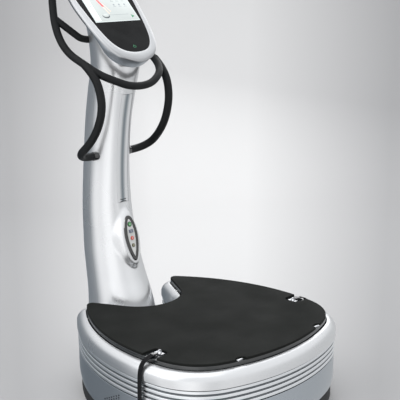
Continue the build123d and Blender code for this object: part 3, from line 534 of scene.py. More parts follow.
def inset_loop(loop, distance):
    """The loop moved inward, along its own normals."""
    count = len(loop)
    moved = []
    for i, point in enumerate(loop):
        ahead = loop[(i + 1) % count] - loop[i - 1]
        moved.append(point + Vector((-ahead.y, ahead.x)).normalized() * distance)
    return moved


# ---- straps: flat webbing from the clip over the rim to a sewn loop with a hand grip ------
def route_points(side):
    """Points on the strap's own smooth line, from the clip down."""
    points = nurbs_points([(side * x * MM, STRAP_Y, z * MM) for x, z in STRAP_ROUTE], 12)
    return points if points[0].z > points[-1].z else points[::-1]


def ribbon(name, points, width, thick, material, body, across=Vector((0, 1, 0)), **extra):
    """Flat webbing along the points, with rolled edges and UVs in metres."""
    section = [(-0.5, 0.18), (-0.47, 0.5), (0.47, 0.5), (0.5, 0.18)]
    section = [(u * width, v * thick) for u, v in section]
    section += [(u, -v) for u, v in reversed(section)]
    rings = []
    for i, point in enumerate(points):
        ahead = points[min(i + 1, len(points) - 1)] - points[max(i - 1, 0)]
        normal = ahead.cross(across).normalized()
        side = normal.cross(ahead).normalized()
        rings.append([point + side * u + normal * v for u, v in section])
    piece = loft(name, rings, material, caps=True, body=body, sharp=50, **extra)
    run = [0.0]
    for a, b in zip(points, points[1:]):
        run.append(run[-1] + (b - a).length)
    layer = piece.data.uv_layers.new(name="UVMap")
    for loop in piece.data.loops:
        ring, spot = divmod(loop.vertex_index, len(section))
        layer.data[loop.index].uv = (section[spot][0], run[ring])
    return piece


def stitches(name, points, offsets, body):
    """Rows of short raised threads along a run of webbing, on both faces."""
    thread = (
        (-0.5, -0.4, 0), (-0.5, 0.4, 0), (0.5, 0.4, 0), (0.5, -0.4, 0), (-0.3, 0, 0.45), (0.3, 0, 0.45),
    )
    sides = ((0, 1, 4), (1, 2, 5, 4), (2, 3, 5), (3, 0, 4, 5), (3, 2, 1, 0))
    verts, faces = [], []
    for row in offsets:
        travelled, due = 0.0, STITCH_PITCH
        for a, b in zip(points, points[1:]):
            step = b - a
            while travelled + step.length > due:
                ahead = step.normalized()
                normal = ahead.cross(Vector((0, 1, 0))).normalized()
                side = normal.cross(ahead)
                middle = a + ahead * (due - travelled) + side * row
                for face in (-normal, normal):
                    base = len(verts)
                    verts += [middle + face * STITCH_LIFT + ahead * along * STITCH_LENGTH
                              + side * wide * MM + face * high * MM for along, wide, high in thread]
                    faces += [tuple(base + i for i in corners) for corners in sides]
                due += STITCH_PITCH
            travelled += step.length
    return make_piece(name, verts, faces, "thread", body=body, slot="webbing", sharp=80)


def make_strap(name, side):
    points = route_points(side)
    strap = ribbon(f"{name}_strap", points, STRAP_WIDTH, STRAP_THICK, "webbing", "platform",
                   replaces=[f"strap_{name}"])
    seams = stitches(f"{name}_strap_stitching", points[2:-1], (-STITCH_ROW, STITCH_ROW), "platform")

    # the sewn loop: a front and a rear band, from the strap's end to the ends of the grip
    x, top, foot = side * STRAP_ROUTE[-1][0] * MM, STRAP_ROUTE[-1][1] * MM, GRIP_TUBE_Z
    half, radius = GRIP_TUBE_HALF, GRIP_TUBE_RADIUS
    outline = [
        (0, top + 9 * MM), (0, top - 6 * MM), (7 * MM, top - 16 * MM), (half * 0.55, foot + 34 * MM),
        (half - 3 * MM, foot + 10 * MM), (half + 2 * MM, foot), (half - 10 * MM, foot - 1 * MM),
    ]
    for hand, place in ((-1, "front"), (1, "rear")):
        line = curve_through([(x, STRAP_Y + hand * y, z) for y, z in outline], 7)
        ribbon(f"{name}_loop_{place}", line, STRAP_WIDTH * 0.94, 2.0 * MM, "webbing",
                            "platform", across=Vector((1, 0, 0)))
    end = [
        (0, half), (radius - 4 * MM, half), (radius - 1 * MM, half - 0.8 * MM), (radius, half - 3 * MM),
    ]
    profile = [(r, -h) for r, h in end] + end[::-1]
    grip = turned(f"{name}_hand_grip", profile, Vector((x, STRAP_Y, foot)), Vector((0, 1, 0)),
                  "foam_grip", body="platform", replaces=[f"strap_grip_{name}"])


for strap_name, strap_side in SIDES:
    make_strap(strap_name, strap_side)


# ---- drum outline ------------------------------------------------------------------------
def circle_crossing(a, radius_a, b, radius_b):
    """Where two circles cross, on the left of the line from a to b."""
    gap = b - a
    along = (radius_a**2 - radius_b**2 + gap.length_squared) / (2 * gap.length)
    across = sqrt(radius_a**2 - along**2)
    unit = gap.normalized()
    return a + unit * along + Vector((-unit.y, unit.x)) * across


def angle_of(vector):
    return atan2(vector.y, vector.x)


def drum_arcs():
    """Right half of the platform's outline: centre, radius, growth sign, start, end, steps."""
    corner = circle_crossing(
        FRONT_CENTRE, FRONT_RADIUS - CORNER_RADIUS, SIDE_CENTRE, SIDE_RADIUS - CORNER_RADIUS
    )
    flare = Vector((cos(NOTCH_FLARE), sin(NOTCH_FLARE)))
    inward = Vector((sin(NOTCH_FLARE), -cos(NOTCH_FLARE)))
    start = NOTCH_CENTRE + inward * NOTCH_RADIUS + inward * EAR_RADIUS
    offset = start - SIDE_CENTRE
    reach = SIDE_RADIUS - EAR_RADIUS
    half = offset.dot(flare)
    ear = start + flare * (-half + sqrt(half**2 - offset.length_squared + reach**2))
    first, second = angle_of(corner - FRONT_CENTRE), angle_of(corner - SIDE_CENTRE)
    third, fourth = angle_of(ear - SIDE_CENTRE), angle_of(-inward)
    return (
        (FRONT_CENTRE, FRONT_RADIUS, 1, -pi / 2, first, 40),
        (corner, CORNER_RADIUS, 1, first, second, 34),
        (SIDE_CENTRE, SIDE_RADIUS, 1, second, third, 76),
        (ear, EAR_RADIUS, 1, third, fourth, 18),
        (NOTCH_CENTRE, NOTCH_RADIUS, -1, angle_of(inward), -pi / 2, 30),
    )


ARCS = drum_arcs()


def drum_ring(grow, z):
    """The platform's outline at height z, moved outward by grow."""
    half = []
    for centre, radius, sign, start, end, steps in ARCS:
        for i in range(steps + 1):
            angle = start + (end - start) * i / steps
            half.append(centre + (radius + sign * grow) * Vector((cos(angle), sin(angle))))
    right = [Vector((*p, z)) for p, last in zip(half, [None, *half])
             if last is None or (p - last).length > 1e-6]
    left = [Vector((-p.x, p.y, z)) for p in right[-2:0:-1]]
    return right + left


def ring_solid(name, profile, material, **extra):
    """A closed ring round the drum from a closed profile of (grow, z)."""
    return loft(name, [drum_ring(grow, z) for grow, z in profile], material, along=True, **extra)


def arc_points(centre, radius, start, end, steps):
    """Profile points on an arc, angles in degrees."""
    turns = [radians(start + (end - start) * i / steps) for i in range(steps + 1)]
    return [(centre[0] + radius * cos(a), centre[1] + radius * sin(a)) for a in turns]


def make_drum():
    """The rim, the ribbed band, the shell and the dark plinth wall, from the top down."""
    top, low, soft, inside = cap_high.z, cap_low.z, 1.2 * MM, RIM_WIDTH - COVER_WALL
    profile = [(CAP_GAP, top - CAP_SKIRT), (CAP_GAP, top - soft)]
    profile += arc_points((CAP_GAP + soft, top - soft), soft, 180, 90, 4)
    profile += arc_points((RIM_WIDTH - CAP_ROUND, top - CAP_ROUND), CAP_ROUND, 86, 0, 22)
    profile += arc_points((RIM_WIDTH - 2 * MM, low + 2 * MM), 2 * MM, 0, -90, 5)
    profile += [(inside, low), (inside, low + 12 * MM), (RIM_WIDTH - 12 * MM, top - CAP_SKIRT)]
    ring_solid("rim", profile, "silver_rim", replaces=["top_cap"])

    pitch, side = (band_high.z - band_low.z) / BAND_RIBS, RIB_OUT - RIB_ROUND
    profile = [(BAND_CORE - COVER_WALL, band_low.z), (BAND_CORE, band_low.z)]
    for rib in range(BAND_RIBS):
        bottom = band_low.z + rib * pitch + BAND_GROOVE / 2
        crest = bottom + pitch - BAND_GROOVE
        profile += arc_points((BAND_CORE + soft, bottom - soft), soft, 180, 90, 3)
        profile += arc_points((side, bottom + RIB_ROUND), RIB_ROUND, -90, 0, 6)
        profile += arc_points((side, crest - RIB_ROUND), RIB_ROUND, 0, 90, 6)
        profile += arc_points((BAND_CORE + soft, crest + soft), soft, -90, -180, 3)
    profile += [(BAND_CORE, band_high.z), (BAND_CORE - COVER_WALL, band_high.z)]
    ring_solid("ribbed_band", profile, "silver_band", replaces=["rib_band"])

    steps, soft = 14, 1.5 * MM
    profile = []
    for i in range(steps + 1):
        tuck = SHELL_TUCK * (1 - i / steps) ** 1.9
        profile.append((SHELL_OUT - tuck, SHELL_FOOT + (SHELL_BEND - SHELL_FOOT) * i / steps))
    profile.append((SHELL_OUT, shell_top - soft))
    inner = [(out - COVER_WALL, z) for out, z in reversed(profile)]
    profile += arc_points((SHELL_OUT - soft, shell_top - soft), soft, 0, 90, 4)
    ring_solid("lower_shell", profile + inner, "silver_shell", replaces=["side_shell"])

    profile = [
        (PLINTH_BACK, PLINTH_LOW), (PLINTH_OUT - 2 * MM, PLINTH_LOW),
        (PLINTH_OUT, PLINTH_LOW + 3 * MM), (PLINTH_OUT, PLINTH_TOP), (PLINTH_BACK, PLINTH_TOP),
    ]
    ring_solid("plinth_wall", profile, "dark_hole", slot="black_plastic")


make_drum()


# ---- column ------------------------------------------------------------------------------
def section_at(z):
    """Centre y, half width and half depth of the column at height z, all in metres."""
    z = z / MM
    stations = [(2 * COLUMN[0][0] - COLUMN[1][0], *COLUMN[0][1:]), *COLUMN]
    last, before = COLUMN[-1], COLUMN[-2]
    stations.append((2 * last[0] - before[0], *[2 * p - q for p, q in zip(last[1:], before[1:])]))
    for k in range(1, len(stations) - 2):
        if z <= stations[k + 1][0] or k == len(stations) - 3:
            break
    a, b, c, d = stations[k - 1:k + 3]
    t = (z - b[0]) / (c[0] - b[0])
    values = []
    for j in (1, 2, 3):
        slope_b = (c[j] - a[j]) / (c[0] - a[0]) * (c[0] - b[0])
        slope_c = (d[j] - b[j]) / (d[0] - b[0]) * (c[0] - b[0])
        values.append(
            (2 * t**3 - 3 * t**2 + 1) * b[j] + (t**3 - 2 * t**2 + t) * slope_b
            + (3 * t**2 - 2 * t**3) * c[j] + (t**3 - t**2) * slope_c
        )
    return [value * MM for value in values]


def flute_depth(x, z):
    """Soft groove down the middle of the front, above and below the insert too."""
    reach = smooth_step((z - FLUTE_LOW) / FLUTE_LOW_FADE)
    reach *= smooth_step((FLUTE_HIGH - z) / FLUTE_HIGH_FADE)
    return FLUTE_DEPTH * cos(min(1.0, abs(x) / FLUTE_HALF) * pi / 2) ** 2 * reach


def pod_boss(x, z, y):
    """How far the front swells out to carry the control pod."""
    local = Vector((0, y, z)) - POD_MIDDLE
    along, gap = local.dot(POD_UP), -local.dot(POD_OUT)
    share = hypot(x / BOSS_HALF_WIDTH, along / BOSS_HALF_LENGTH)
    beyond = hypot(x, along) * (1 - 1 / share) if share > 1 else 0.0
    swell = max(0.0, gap - BOSS_SUNK) * smooth_step(1 - beyond / BOSS_FADE)
    return swell + LEDGE_HIGH * smooth_step((LEDGE_REACH - beyond) / LEDGE_FADE)


def column_point(z, angle, grow=0.0, x=None):
    """A point on the column; angle is from the front, or x is given instead."""
    centre, wide, deep = section_at(z)
    wide, deep = wide + grow, deep + grow
    if x is None:
        x = wide * sin(angle)
    side = 1 if abs(angle) <= pi / 2 else -1
    return Vector((x, centre - side * deep * sqrt(max(0.0, 1 - (x / wide) ** 2)), z))


def front_point(z, spot, grow=0.0):
    """A point on the front cover; spot is -1 to 1 across it."""
    if abs(spot) <= MIDDLE_SHARE:
        point = column_point(z, 0, grow, x=spot / MIDDLE_SHARE * MIDDLE_HALF)
    else:
        start = asin(MIDDLE_HALF / (section_at(z)[1] + grow))
        turn = start + (pi / 2 - SEAM - start) * (abs(spot) - MIDDLE_SHARE) / (1 - MIDDLE_SHARE)
        point = column_point(z, turn * (1 if spot > 0 else -1), grow)
    point.y += flute_depth(point.x, z)
    if abs(spot) < INSERT_EDGE and INSERT_LOW < z < INSERT_HIGH:
        point.y += INSERT_POCKET
    point.y -= pod_boss(point.x, z, point.y)
    return point


def steps_between(low, high, pitch, breaks=()):
    """Even levels from low to high, with a tight pair at each break."""
    count = ceil((high - low) / pitch)
    levels = [low + (high - low) * i / count for i in range(count + 1)]
    for level in breaks:
        levels += [level - 0.3 * MM, level + 0.3 * MM]
    return sorted(levels)


def rear_point(z, turn, grow=0.0):
    """A point on the rear cover, with a flat pocket round the mains inlet."""
    centre, wide, deep = section_at(z)
    point = Vector(((wide + grow) * sin(turn), centre - (deep + grow) * cos(turn), z))
    if abs(point.x) < INLET_HALF and INLET_LOW < z < INLET_HIGH:
        point.y = min(point.y, INLET_Y)
    return point


def make_column():
    low, crease = COLUMN[0][0] * MM, 0.002
    spots = [i / 90 for i in range(-90, 91)]
    spots += [side * INSERT_EDGE + shift for side in (-1, 1) for shift in (-crease, crease)]
    front_levels = steps_between(low, COLUMN_TOP, 6 * MM, (INSERT_LOW, INSERT_HIGH))
    turns = [pi / 2 + SEAM + (pi - 2 * SEAM) * i / 90 for i in range(91)]
    rear_levels = steps_between(low, COLUMN_TOP, 10 * MM)
    rear_levels += [edge + shift * MM for edge in (INLET_LOW, INLET_HIGH) for shift in (-0.1, 0.1)]
    for name, place, levels, across in (
        ("front", front_point, front_levels, spots), ("rear", rear_point, rear_levels, turns),
    ):
        outer, inner = [
            [[place(z, spot, grow) for spot in sorted(across)] for z in sorted(levels)]
            for grow in (0.0, -COVER_WALL)
        ]
        slab(f"{name}_cover", outer, inner, "silver_column", replaces=[f"column_{name}_cover"])


def make_insert():
    """Long strip in the front of the column, dished across, with two short end ticks."""
    levels = steps_between(INSERT_LOW + 0.8 * MM, INSERT_HIGH - 0.8 * MM, 6 * MM)
    half = INSERT_HALF - 0.2 * MM
    spots = [half * (i / 30) for i in range(-30, 31)]

    def point(x, z, deeper):
        spot = column_point(z, 0, 0.0, x=x)
        end = min(z - INSERT_LOW, INSERT_HIGH - z)
        edge = half - abs(x)
        rounded = 0.3 * MM * (1 - smooth_step(min(end, edge) / (1.2 * MM)))
        spot.y += flute_depth(x, z) + 0.1 * MM + rounded + deeper
        return spot

    outer = [[point(x, z, 0) for x in spots] for z in levels]
    inner = [[point(x, z, 3.5 * MM) for x in spots] for z in levels]
    slab("channel_insert", outer, inner, "grey_insert", replaces=["spine_insert"])

    half = 15 * MM
    places = [half * (i - 4) / 4 for i in range(9)]
    for tick, up, lean in ((1, 10 * MM, 2 * MM), (2, 4 * MM, -2 * MM)):
        line = [point(x, INSERT_LOW + up + lean * abs(x) / half, -0.4 * MM) for x in places]
        ribbon(f"insert_tick_{tick}", line, 2.4 * MM, 0.9 * MM, "dark_hole", "root",
               slot="black_plastic", across=Vector((0, -0.2, 1)))


def screw_head(name, place, out):
    """Domed socket screw with its recess."""
    radius = 4 * MM
    profile = [
        (radius, 0), (radius, 1.2 * MM), (radius * 0.8, 2.2 * MM), (radius * 0.5, 2.5 * MM),
        (radius * 0.46, 1.4 * MM), (0, 1.4 * MM),
    ]
    turned(name, profile, place, out, "zinc_steel", steps=24)


def make_service_cover():
    low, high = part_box("service_cover")
    half, proud, pitch, margin = high.x - 2 * MM, 5.7 * MM, 16 * MM, 60 * MM
    xs = [half * (i / 30) for i in range(30, -31, -1)]

    def point(x, z, depth):
        centre, wide, deep = section_at(z)
        edge = min(half - abs(x), z - low.z, high.z - z)
        soft = 2.2 * MM * (1 - smooth_step(edge / (3 * MM)))
        y = centre + (deep + proud) * sqrt(1 - (x / (wide + proud)) ** 2) - depth - soft
        if depth == 0 and abs(x) < 26 * MM and low.z + margin < z < high.z - margin:
            y -= 1.6 * MM * max(0.0, cos((z - low.z) / pitch * 2 * pi))
        return Vector((x, y, z))

    levels = steps_between(low.z, high.z, 2 * MM)
    outer, inner = [[[point(x, z, depth) for x in xs] for z in levels] for depth in (0, proud)]
    slab("rear_service_cover", outer, inner, "silver_column", replaces=["service_cover"])
    for hand, side in SIDES:
        for name, z in (("low", low.z + 18 * MM), ("high", high.z - 18 * MM)):
            place = point(side * 30 * MM, z, 1.2 * MM)
            screw_head(f"cover_screw_{name}_{hand}", place, Vector((side * 0.35, 1, 0)))


make_column()
make_insert()
make_service_cover()


# ---- control pod -------------------------------------------------------------------------
LEAF = (
    (0, 1), (0.42, 0.93), (0.78, 0.68), (0.98, 0.32), (1.0, 0.05), (0.90, -0.28),
    (0.68, -0.60), (0.38, -0.88), (0.17, -0.985), (0, -1),
)


def pod_point(p, height):
    return POD_MIDDLE + Vector((p.x, 0, 0)) + POD_UP * p.y + POD_OUT * height


def leaf_loop(inset):
    half = [(x * POD_HALF_WIDTH / MM, y * POD_HALF / MM) for x, y in LEAF]
    return inset_loop(closed_curve(half, 8)[::-1], inset)


def flat_ring(name, centre, radius, wire, height, material):
    """Small raised ring lying on the pod."""
    tilts = [2 * pi * i / 8 for i in range(8)]
    section = [(radius + wire * cos(t), height + wire * sin(t) * 0.6) for t in tilts]
    spokes = circle(Vector((0, 0)), Vector((1, 0)), Vector((0, 1)), 1, 32)
    rings = [[pod_point(centre + spoke * out, high) for out, high in section] for spoke in spokes]
    loft(name, rings, material, along=True)


def plate_on(name, outline, low, high, material, to_world, **extra):
    """Thin raised shape with a soft edge from a flat outline."""
    middle = Vector((sum(p.x for p in outline), sum(p.y for p in outline))) / len(outline)
    span = max((p - middle).length for p in outline)
    shrink = 1 - (high - low) / span
    rings = [
        [to_world(p, low) for p in outline],
        [to_world(p, high - (high - low) * 0.3) for p in outline],
        [to_world(middle + (p - middle) * shrink, high) for p in outline],
    ]
    return loft(name, rings, material, caps=True, **extra)


def pod_mark(name, outline, y, high, body):
    """Pale raised mark on a key, from an outline in millimetres round the key's own height."""
    top = 5.0 * MM
    shape = [Vector((x * MM, (y + dy) * MM)) for x, dy in outline]
    plate_on(name, shape, top - 0.1 * MM, top + high * MM, "light_panel", pod_point, body=body)


def make_pod():
    profile = [
        (0, -24), (0, -2), (0.3, 1.3), (1.3, 3.0), (3.6, 4.0), (8.6, 4.0), (11.4, 3.5), (13.0, 2.8),
        (13.6, 2.0), (13.6, -2),
    ]
    rings = [[pod_point(p, h * MM) for p in leaf_loop(inset * MM)] for inset, h in profile]
    loft("pod_frame", rings, "black_gloss", along=True, replaces=["pod_bezel"])
    for key, y, radius, wire, height, material in (
        ("start", 54, 9.3, 1.2, 2.2, "black_gloss"), ("stop", 0, 8.4, 0.8, 2.1, "zinc_steel"),
        ("repeat", -28, 7.9, 0.8, 2.1, "zinc_steel"),
    ):
        flat_ring(f"{key}_key_ring", Vector((0, y * MM)), radius * MM, wire * MM, height * MM, material)
    triangle = ((-2.2, -3), (3.4, 0), (-2.2, 3))
    square = ((-2.4, -2.4), (2.4, -2.4), (2.4, 2.4), (-2.4, 2.4))
    bar = ((-5, -0.6), (5, -0.6), (5, 0.6), (-5, 0.6))
    diamond = ((0, -2.6), (2.6, 0), (0, 2.6), (-2.6, 0))
    pod_mark("start_button_mark", triangle, 54, 0.35, "start_button")
    pod_mark("stop_button_mark", square, 0, 0.35, "stop_button")
    pod_mark("level_mark_low", bar, 27 - 2.6, 0.3, "level_button")
    pod_mark("level_mark_high", bar, 27 + 2.6, 0.3, "level_button")
    pod_mark("repeat_mark", diamond, -28, 0.3, "repeat_button")


make_pod()


# ---- console -----------------------------------------------------------------------------
def face_point(p, height):
    """A point on the console's face, from its own x, y and the height above it."""
    return FACE_TIP + Vector((p.x, 0, 0)) + FACE_UP * p.y + FACE_OUT * height


def tub_depth(y):
    """How far the tub goes down below the face: deep at the console's foot, shallow at its head."""
    return TUB_DEPTH - (TUB_DEPTH - TUB_HEAD) * smooth_step((y + 25 * MM) / (150 * MM))


def make_console():
    outer = closed_curve(BEZEL_HALF, 14)
    inner = closed_curve(GLASS_HALF, 14)
    depth = RIM_DEPTH / MM
    profile = [
        (0.06, -depth), (0.0, -depth + 1.5), (0.0, -9.5), (0.03, -6.0), (0.10, -3.0), (0.20, -0.9),
        (0.32, 0.4), (0.48, 1.0), (0.66, 1.0), (0.82, 0.7), (0.94, 0.2), (0.985, -0.3), (1.0, -1.0),
        (1.0, -3.6), (0.90, -depth),
    ]
    rings = [[face_point(a.lerp(b, t), h * MM) for a, b in zip(outer, inner)] for t, h in profile]
    loft("console_rim", rings, "silver_bezel", along=True, slot="silver_rim", sharp=45,
         replaces=["console_bezel"])

    tub = [(5, -12), (5, -20), (5.5, -42), (7, -49), (10, -54), (15, -56)]
    rings = []
    for inset, h in tub:
        loop = inset_loop(outer, inset * MM)
        rings.append([face_point(p, h * MM * tub_depth(p.y) / TUB_DEPTH) for p in loop])
    middle = Vector((0, 180 * MM))
    for share in (0.8, 0.6, 0.4, 0.2, 0.05):
        shrunk = [middle + (p - middle) * share for p in loop]
        rings.append([face_point(p, -tub_depth(p.y)) for p in shrunk])
    # painted shade: the tub under the bezel is a darker blue-grey copy of the band's silver lacquer
    loft("console_body", rings, "console_band_painted_shade", caps=True, slot="silver_band", replaces=["console_tub"])

    edge = [(0.5, -3.8), (0.5, -0.7), (1.1, -0.15)]
    rings = [[face_point(p, h * MM) for p in inset_loop(inner, inset * MM)] for inset, h in edge]
    loft("console_touch_glass", rings, "touch_glass", caps=True, replaces=["console_glass"], sharp=20)


def housing_top(angle):
    """Height where the neck's wall meets the underside of the console, at this angle."""
    low, high, overlap = COLUMN_TOP, 1480 * MM, 1.5 * MM
    for _ in range(30):
        z = (low + high) / 2
        centre, wide, deep = section_at(z)
        point = Vector((wide * sin(angle), centre - deep * cos(angle), z))
        if (point - FACE_TIP).dot(FACE_OUT) < overlap - tub_depth((point - FACE_TIP).dot(FACE_UP)):
            low = z
        else:
            high = z
    return low


def make_neck():
    """Neck from the column up to the console, with a rolled lip under it."""
    steps, rows, start, squeeze = 144, 36, COLUMN_TOP + 0.2 * MM, 0.94
    rings = [[] for _ in range(rows + 1)]
    for k in range(steps):
        angle = 2 * pi * k / steps
        top = housing_top(angle)
        front = smooth_step(cos(angle) * 0.5 + 0.5)
        for row, ring in enumerate(rings):
            z = start + (top - start) * row / rows
            centre, wide, deep = section_at(z)
            lip = LIP_OUT * smooth_step(1 - (top - z) / LIP_TALL) ** 1.5
            grow = front * (lip - ROLL_OUT * smooth_step(1 - (top - z) / ROLL_TALL))
            ring.append(Vector(((wide + grow) * sin(angle), centre - (deep + grow) * cos(angle), z)))
    middle = Vector((0, 360 * MM))
    foot = [Vector((*(middle + (p.xy - middle) * squeeze), p.z)) for p in rings[0]]
    loft("console_neck", [foot, *rings], "silver_column", replaces=["console_housing"])


make_console()
make_neck()


# ---- display -----------------------------------------------------------------------------
def on_screen(x, y):
    """Screen millimetres, from the middle of the picture, to the face's own x and y."""
    return Vector((x * MM, SCREEN_LOW + SCREEN_TALL / 2 + y * MM))


def screen_shape(name, outline, layer, material):
    """Flat lit shape just above the glass; layer orders what overlaps."""
    high = 0.12 * MM * layer
    shape = [on_screen(x, y) for x, y in outline]
    plate_on(name, shape, -0.1 * MM, high, material, face_point, slot="lcd_panel")


def box_outline(x, y, wide, tall, lean=0.0):
    return [(x - wide / 2 - lean, y - tall / 2), (x + wide / 2 - lean, y - tall / 2),
            (x + wide / 2 + lean, y + tall / 2), (x - wide / 2 + lean, y + tall / 2)]


def disc_outline(x, y, radius, flat=1.0):
    return circle(Vector((x, y)), Vector((1, 0)), Vector((0, flat)), radius, 28)


def make_display():
    wide, tall = SCREEN_WIDE / MM, SCREEN_TALL / MM
    screen_shape("display_border", box_outline(0, 0, wide, tall), 1, "icon_pale")
    screen_shape("display_field", box_outline(0, 0, wide - 6, tall - 6), 2, "lcd_panel")
    screen_shape("display_side_bar", box_outline(-wide / 2 + 18, 0, 24, tall - 12), 3, "icon_mint")
    # a round dial, two slanting traces, and a grid of readings
    screen_shape("dial_scale", disc_outline(-42, -52, 17, 0.62), 3, "icon_dark")
    screen_shape("dial_face", disc_outline(-42, -49, 14, 0.55), 4, "lcd_panel")
    screen_shape("trace_upper", box_outline(-46, 40, 7, 46, -9), 3, "icon_red")
    screen_shape("trace_middle", box_outline(-34, 8, 9, 30, -5), 4, "icon_red")
    screen_shape("trace_lower", box_outline(-26, -22, 3.4, 42, -7), 3, "icon_peach")
    screen_shape("trace_side", box_outline(-16, -12, 2.6, 40, -9), 3, "icon_peach")
    for row in range(3):
        screen_shape(f"side_mark_{row + 1}", box_outline(-wide / 2 + 18, 40 - row * 22, 12, 3, 3), 4,
                     "icon_grey")
        for column in range(3):
            x, y = 26 + column * 26, 52 - row * 26
            lit = ("icon_green", "icon_red", "icon_green")[column] if row == 0 else "icon_grey"
            screen_shape(f"reading_{row + 1}_{column + 1}", disc_outline(x, y, 4.2), 3, lit)
            screen_shape(f"reading_line_{row + 1}_{column + 1}", box_outline(x, y - 9, 14, 1.6), 3,
                         "icon_grey")
    screen_shape("next_mark", [(78, -66), (92, -58), (78, -50)], 3, "icon_green")
    screen_shape("foot_line", box_outline(20, -48, 96, 1.2), 3, "icon_grey")
    # standby mark on the black glass below the picture: an open ring and a bar in its gap
    turns = [radians(120 + 300 * i / 24) for i in range(25)]
    line = [face_point(Vector((5.5 * cos(t), 25 + 5.5 * sin(t))) * MM, 0.1 * MM) for t in turns]
    ribbon("standby_ring", line, 1.5 * MM, 0.3 * MM, "icon_green", "root", slot="lcd_panel",
           across=FACE_OUT.cross(FACE_UP))
    bar = [Vector(corner) * MM for corner in ((-0.8, 26), (0.8, 26), (0.8, 33), (-0.8, 33))]
    plate_on("standby_bar", bar, 0, 0.3 * MM, "icon_green", face_point, slot="lcd_panel")


make_display()


# ---- handlebar ---------------------------------------------------------------------------
def mirrored(points, side):
    return [(side * x, y, z) for x, y, z in points]


def make_handlebar():
    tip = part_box("bar_end_caps")[0].z
    arm = [(*BAR_HALF[0][:2], tip / MM), *BAR_HALF[1:]]
    sweep_tube("upper_bar", arm + mirrored(arm[::-1], -1), GRIP_RADIUS - 1 * MM, "foam_grip", steps=36,
               replaces=["upper_bar_grip", "upper_bar_tube"])
    radius, inside = 17 * MM, 74 * MM
    collar = [
        (radius, 0), (radius, 16 * MM), (radius - 0.8 * MM, 18.4 * MM), (radius - 2.6 * MM, 19.2 * MM),
        (GRIP_RADIUS - 1 * MM, 19.2 * MM),
    ]
    for name, side in SIDES:
        sweep_tube(f"lower_bar_{name}", mirrored(LOWER_BAR, side), GRIP_RADIUS, "foam_grip", steps=32,
                   replaces=[f"lower_bar_grip_{name}", f"lower_bar_tube_{name}"])
        place = Vector((side * inside, LOWER_BAR[0][1] * MM, LOWER_BAR[0][2] * MM))
        turned(f"bar_collar_{name}", collar, place, Vector((side, 0, 0)), "black_gloss")
        extra = {"replaces": ["bar_braces"]} if side < 0 else {}
        sweep_tube(f"brace_{name}", mirrored(BRACE, side), BRACE_RADIUS, "foam_grip", **extra)


make_handlebar()


# ---- platform fittings -------------------------------------------------------------------
def torus_ring(name, centre, axis, radius, wire, material, body):
    side = axis.orthogonal().normalized()
    spokes = circle(Vector(), side, axis.cross(side), 1, 40)
    rings = [circle(centre + spoke * radius, spoke, axis, wire, 12) for spoke in spokes]
    return loft(name, rings, material, along=True, body=body)


def make_clips():
    """Spring sleeve between each eyelet and its strap."""
    for name, side in SIDES:
        low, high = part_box(f"strap_clip_{name}")
        middle, half = (low + high) / 2, (high - low) / 2
        rings = []
        for along, wide, tall in (
            (-1, 0.45, 0.35), (-0.96, 0.62, 0.55), (-0.6, 0.72, 0.72), (-0.1, 0.8, 0.8), (0.0, 1.0, 1.0),
            (0.7, 1.0, 1.0), (0.94, 0.96, 0.92), (1, 0.86, 0.72),
        ):
            ring = []
            for k in range(32):
                c, s = cos(2 * pi * k / 32), sin(2 * pi * k / 32)
                y = copysign(sqrt(abs(c)), c) * half.y * wide
                z = copysign(sqrt(abs(s)), s) * half.z * tall
                ring.append(middle + Vector((side * half.x * along, y, z)))
            rings.append(ring if side > 0 else ring[::-1])
        loft(f"{name}_clip_sleeve", rings, "black_gloss", caps=True, body="platform",
             replaces=[f"strap_clip_{name}"])
        band = middle - Vector((side * half.x * 0.05, 0, 0))
        torus_ring(f"{name}_clip_band", band, Vector((1, 0, 0)), 4.6 * MM, 0.9 * MM, "zinc_steel",
                   "platform")


def make_vent_dots():
    """Small round vents on the left of the shell, drawn as dark dots whose black is painted shade in the
    vent holes, in columns that get shorter to the rear.
    """
    radius, pitch, bottom, top, drop = 2.7 * MM, 9 * MM, 104 * MM, 152 * MM, 7.5 * MM
    middle, reach = Vector((-SIDE_CENTRE.x, SIDE_CENTRE.y, 0)), SIDE_RADIUS + SHELL_OUT - 0.4 * MM
    profile = [
        (radius, 0), (radius, 1.6 * MM), (radius - 0.4 * MM, 1.8 * MM), (radius - 0.8 * MM, 1.0 * MM),
        (0, 1.0 * MM),
    ]
    count = 0
    for column in range(7):
        turn = radians(175.6 - 1.1 * column)
        out = Vector((cos(turn), sin(turn), 0))
        z = top - drop * column
        while z > bottom:
            count += 1
            place = middle + out * reach + Vector((0, 0, z))
            # painted shade: each vent is a dark raised dot, not a hole
            turned(f"vent_{count}", profile, place, out, "dark_hole", steps=14, slot="black_plastic")
            z -= pitch


make_clips()
make_vent_dots()


# ---- light and floor ---------------------------------------------------------------------
def direction_ramp(nodes, direction, stops, turn):
    """Colour by compass direction round the machine: stops are (degrees, colour), 0 at turn."""
    mapping = nodes.node("ShaderNodeMapping", Rotation=(0, 0, turn))
    mapping.vector_type = "TEXTURE"
    radial = nodes.node("ShaderNodeTexGradient")
    radial.gradient_type = "RADIAL"
    ramp = nodes.node("ShaderNodeValToRGB")
    ramp.color_ramp.interpolation = "EASE"
    nodes.link(direction, mapping.inputs["Vector"])
    nodes.link(mapping.outputs["Vector"], radial.inputs["Vector"])
    nodes.link(radial.outputs["Fac"], ramp.inputs["Fac"])
    elements = ramp.color_ramp.elements
    while len(elements) < len(stops):
        elements.new(0.5)
    for element, (degrees, color) in zip(elements, stops):
        element.position = (degrees + 180) / 360
        element.color = (*color, 1)
    return ramp.outputs["Color"]


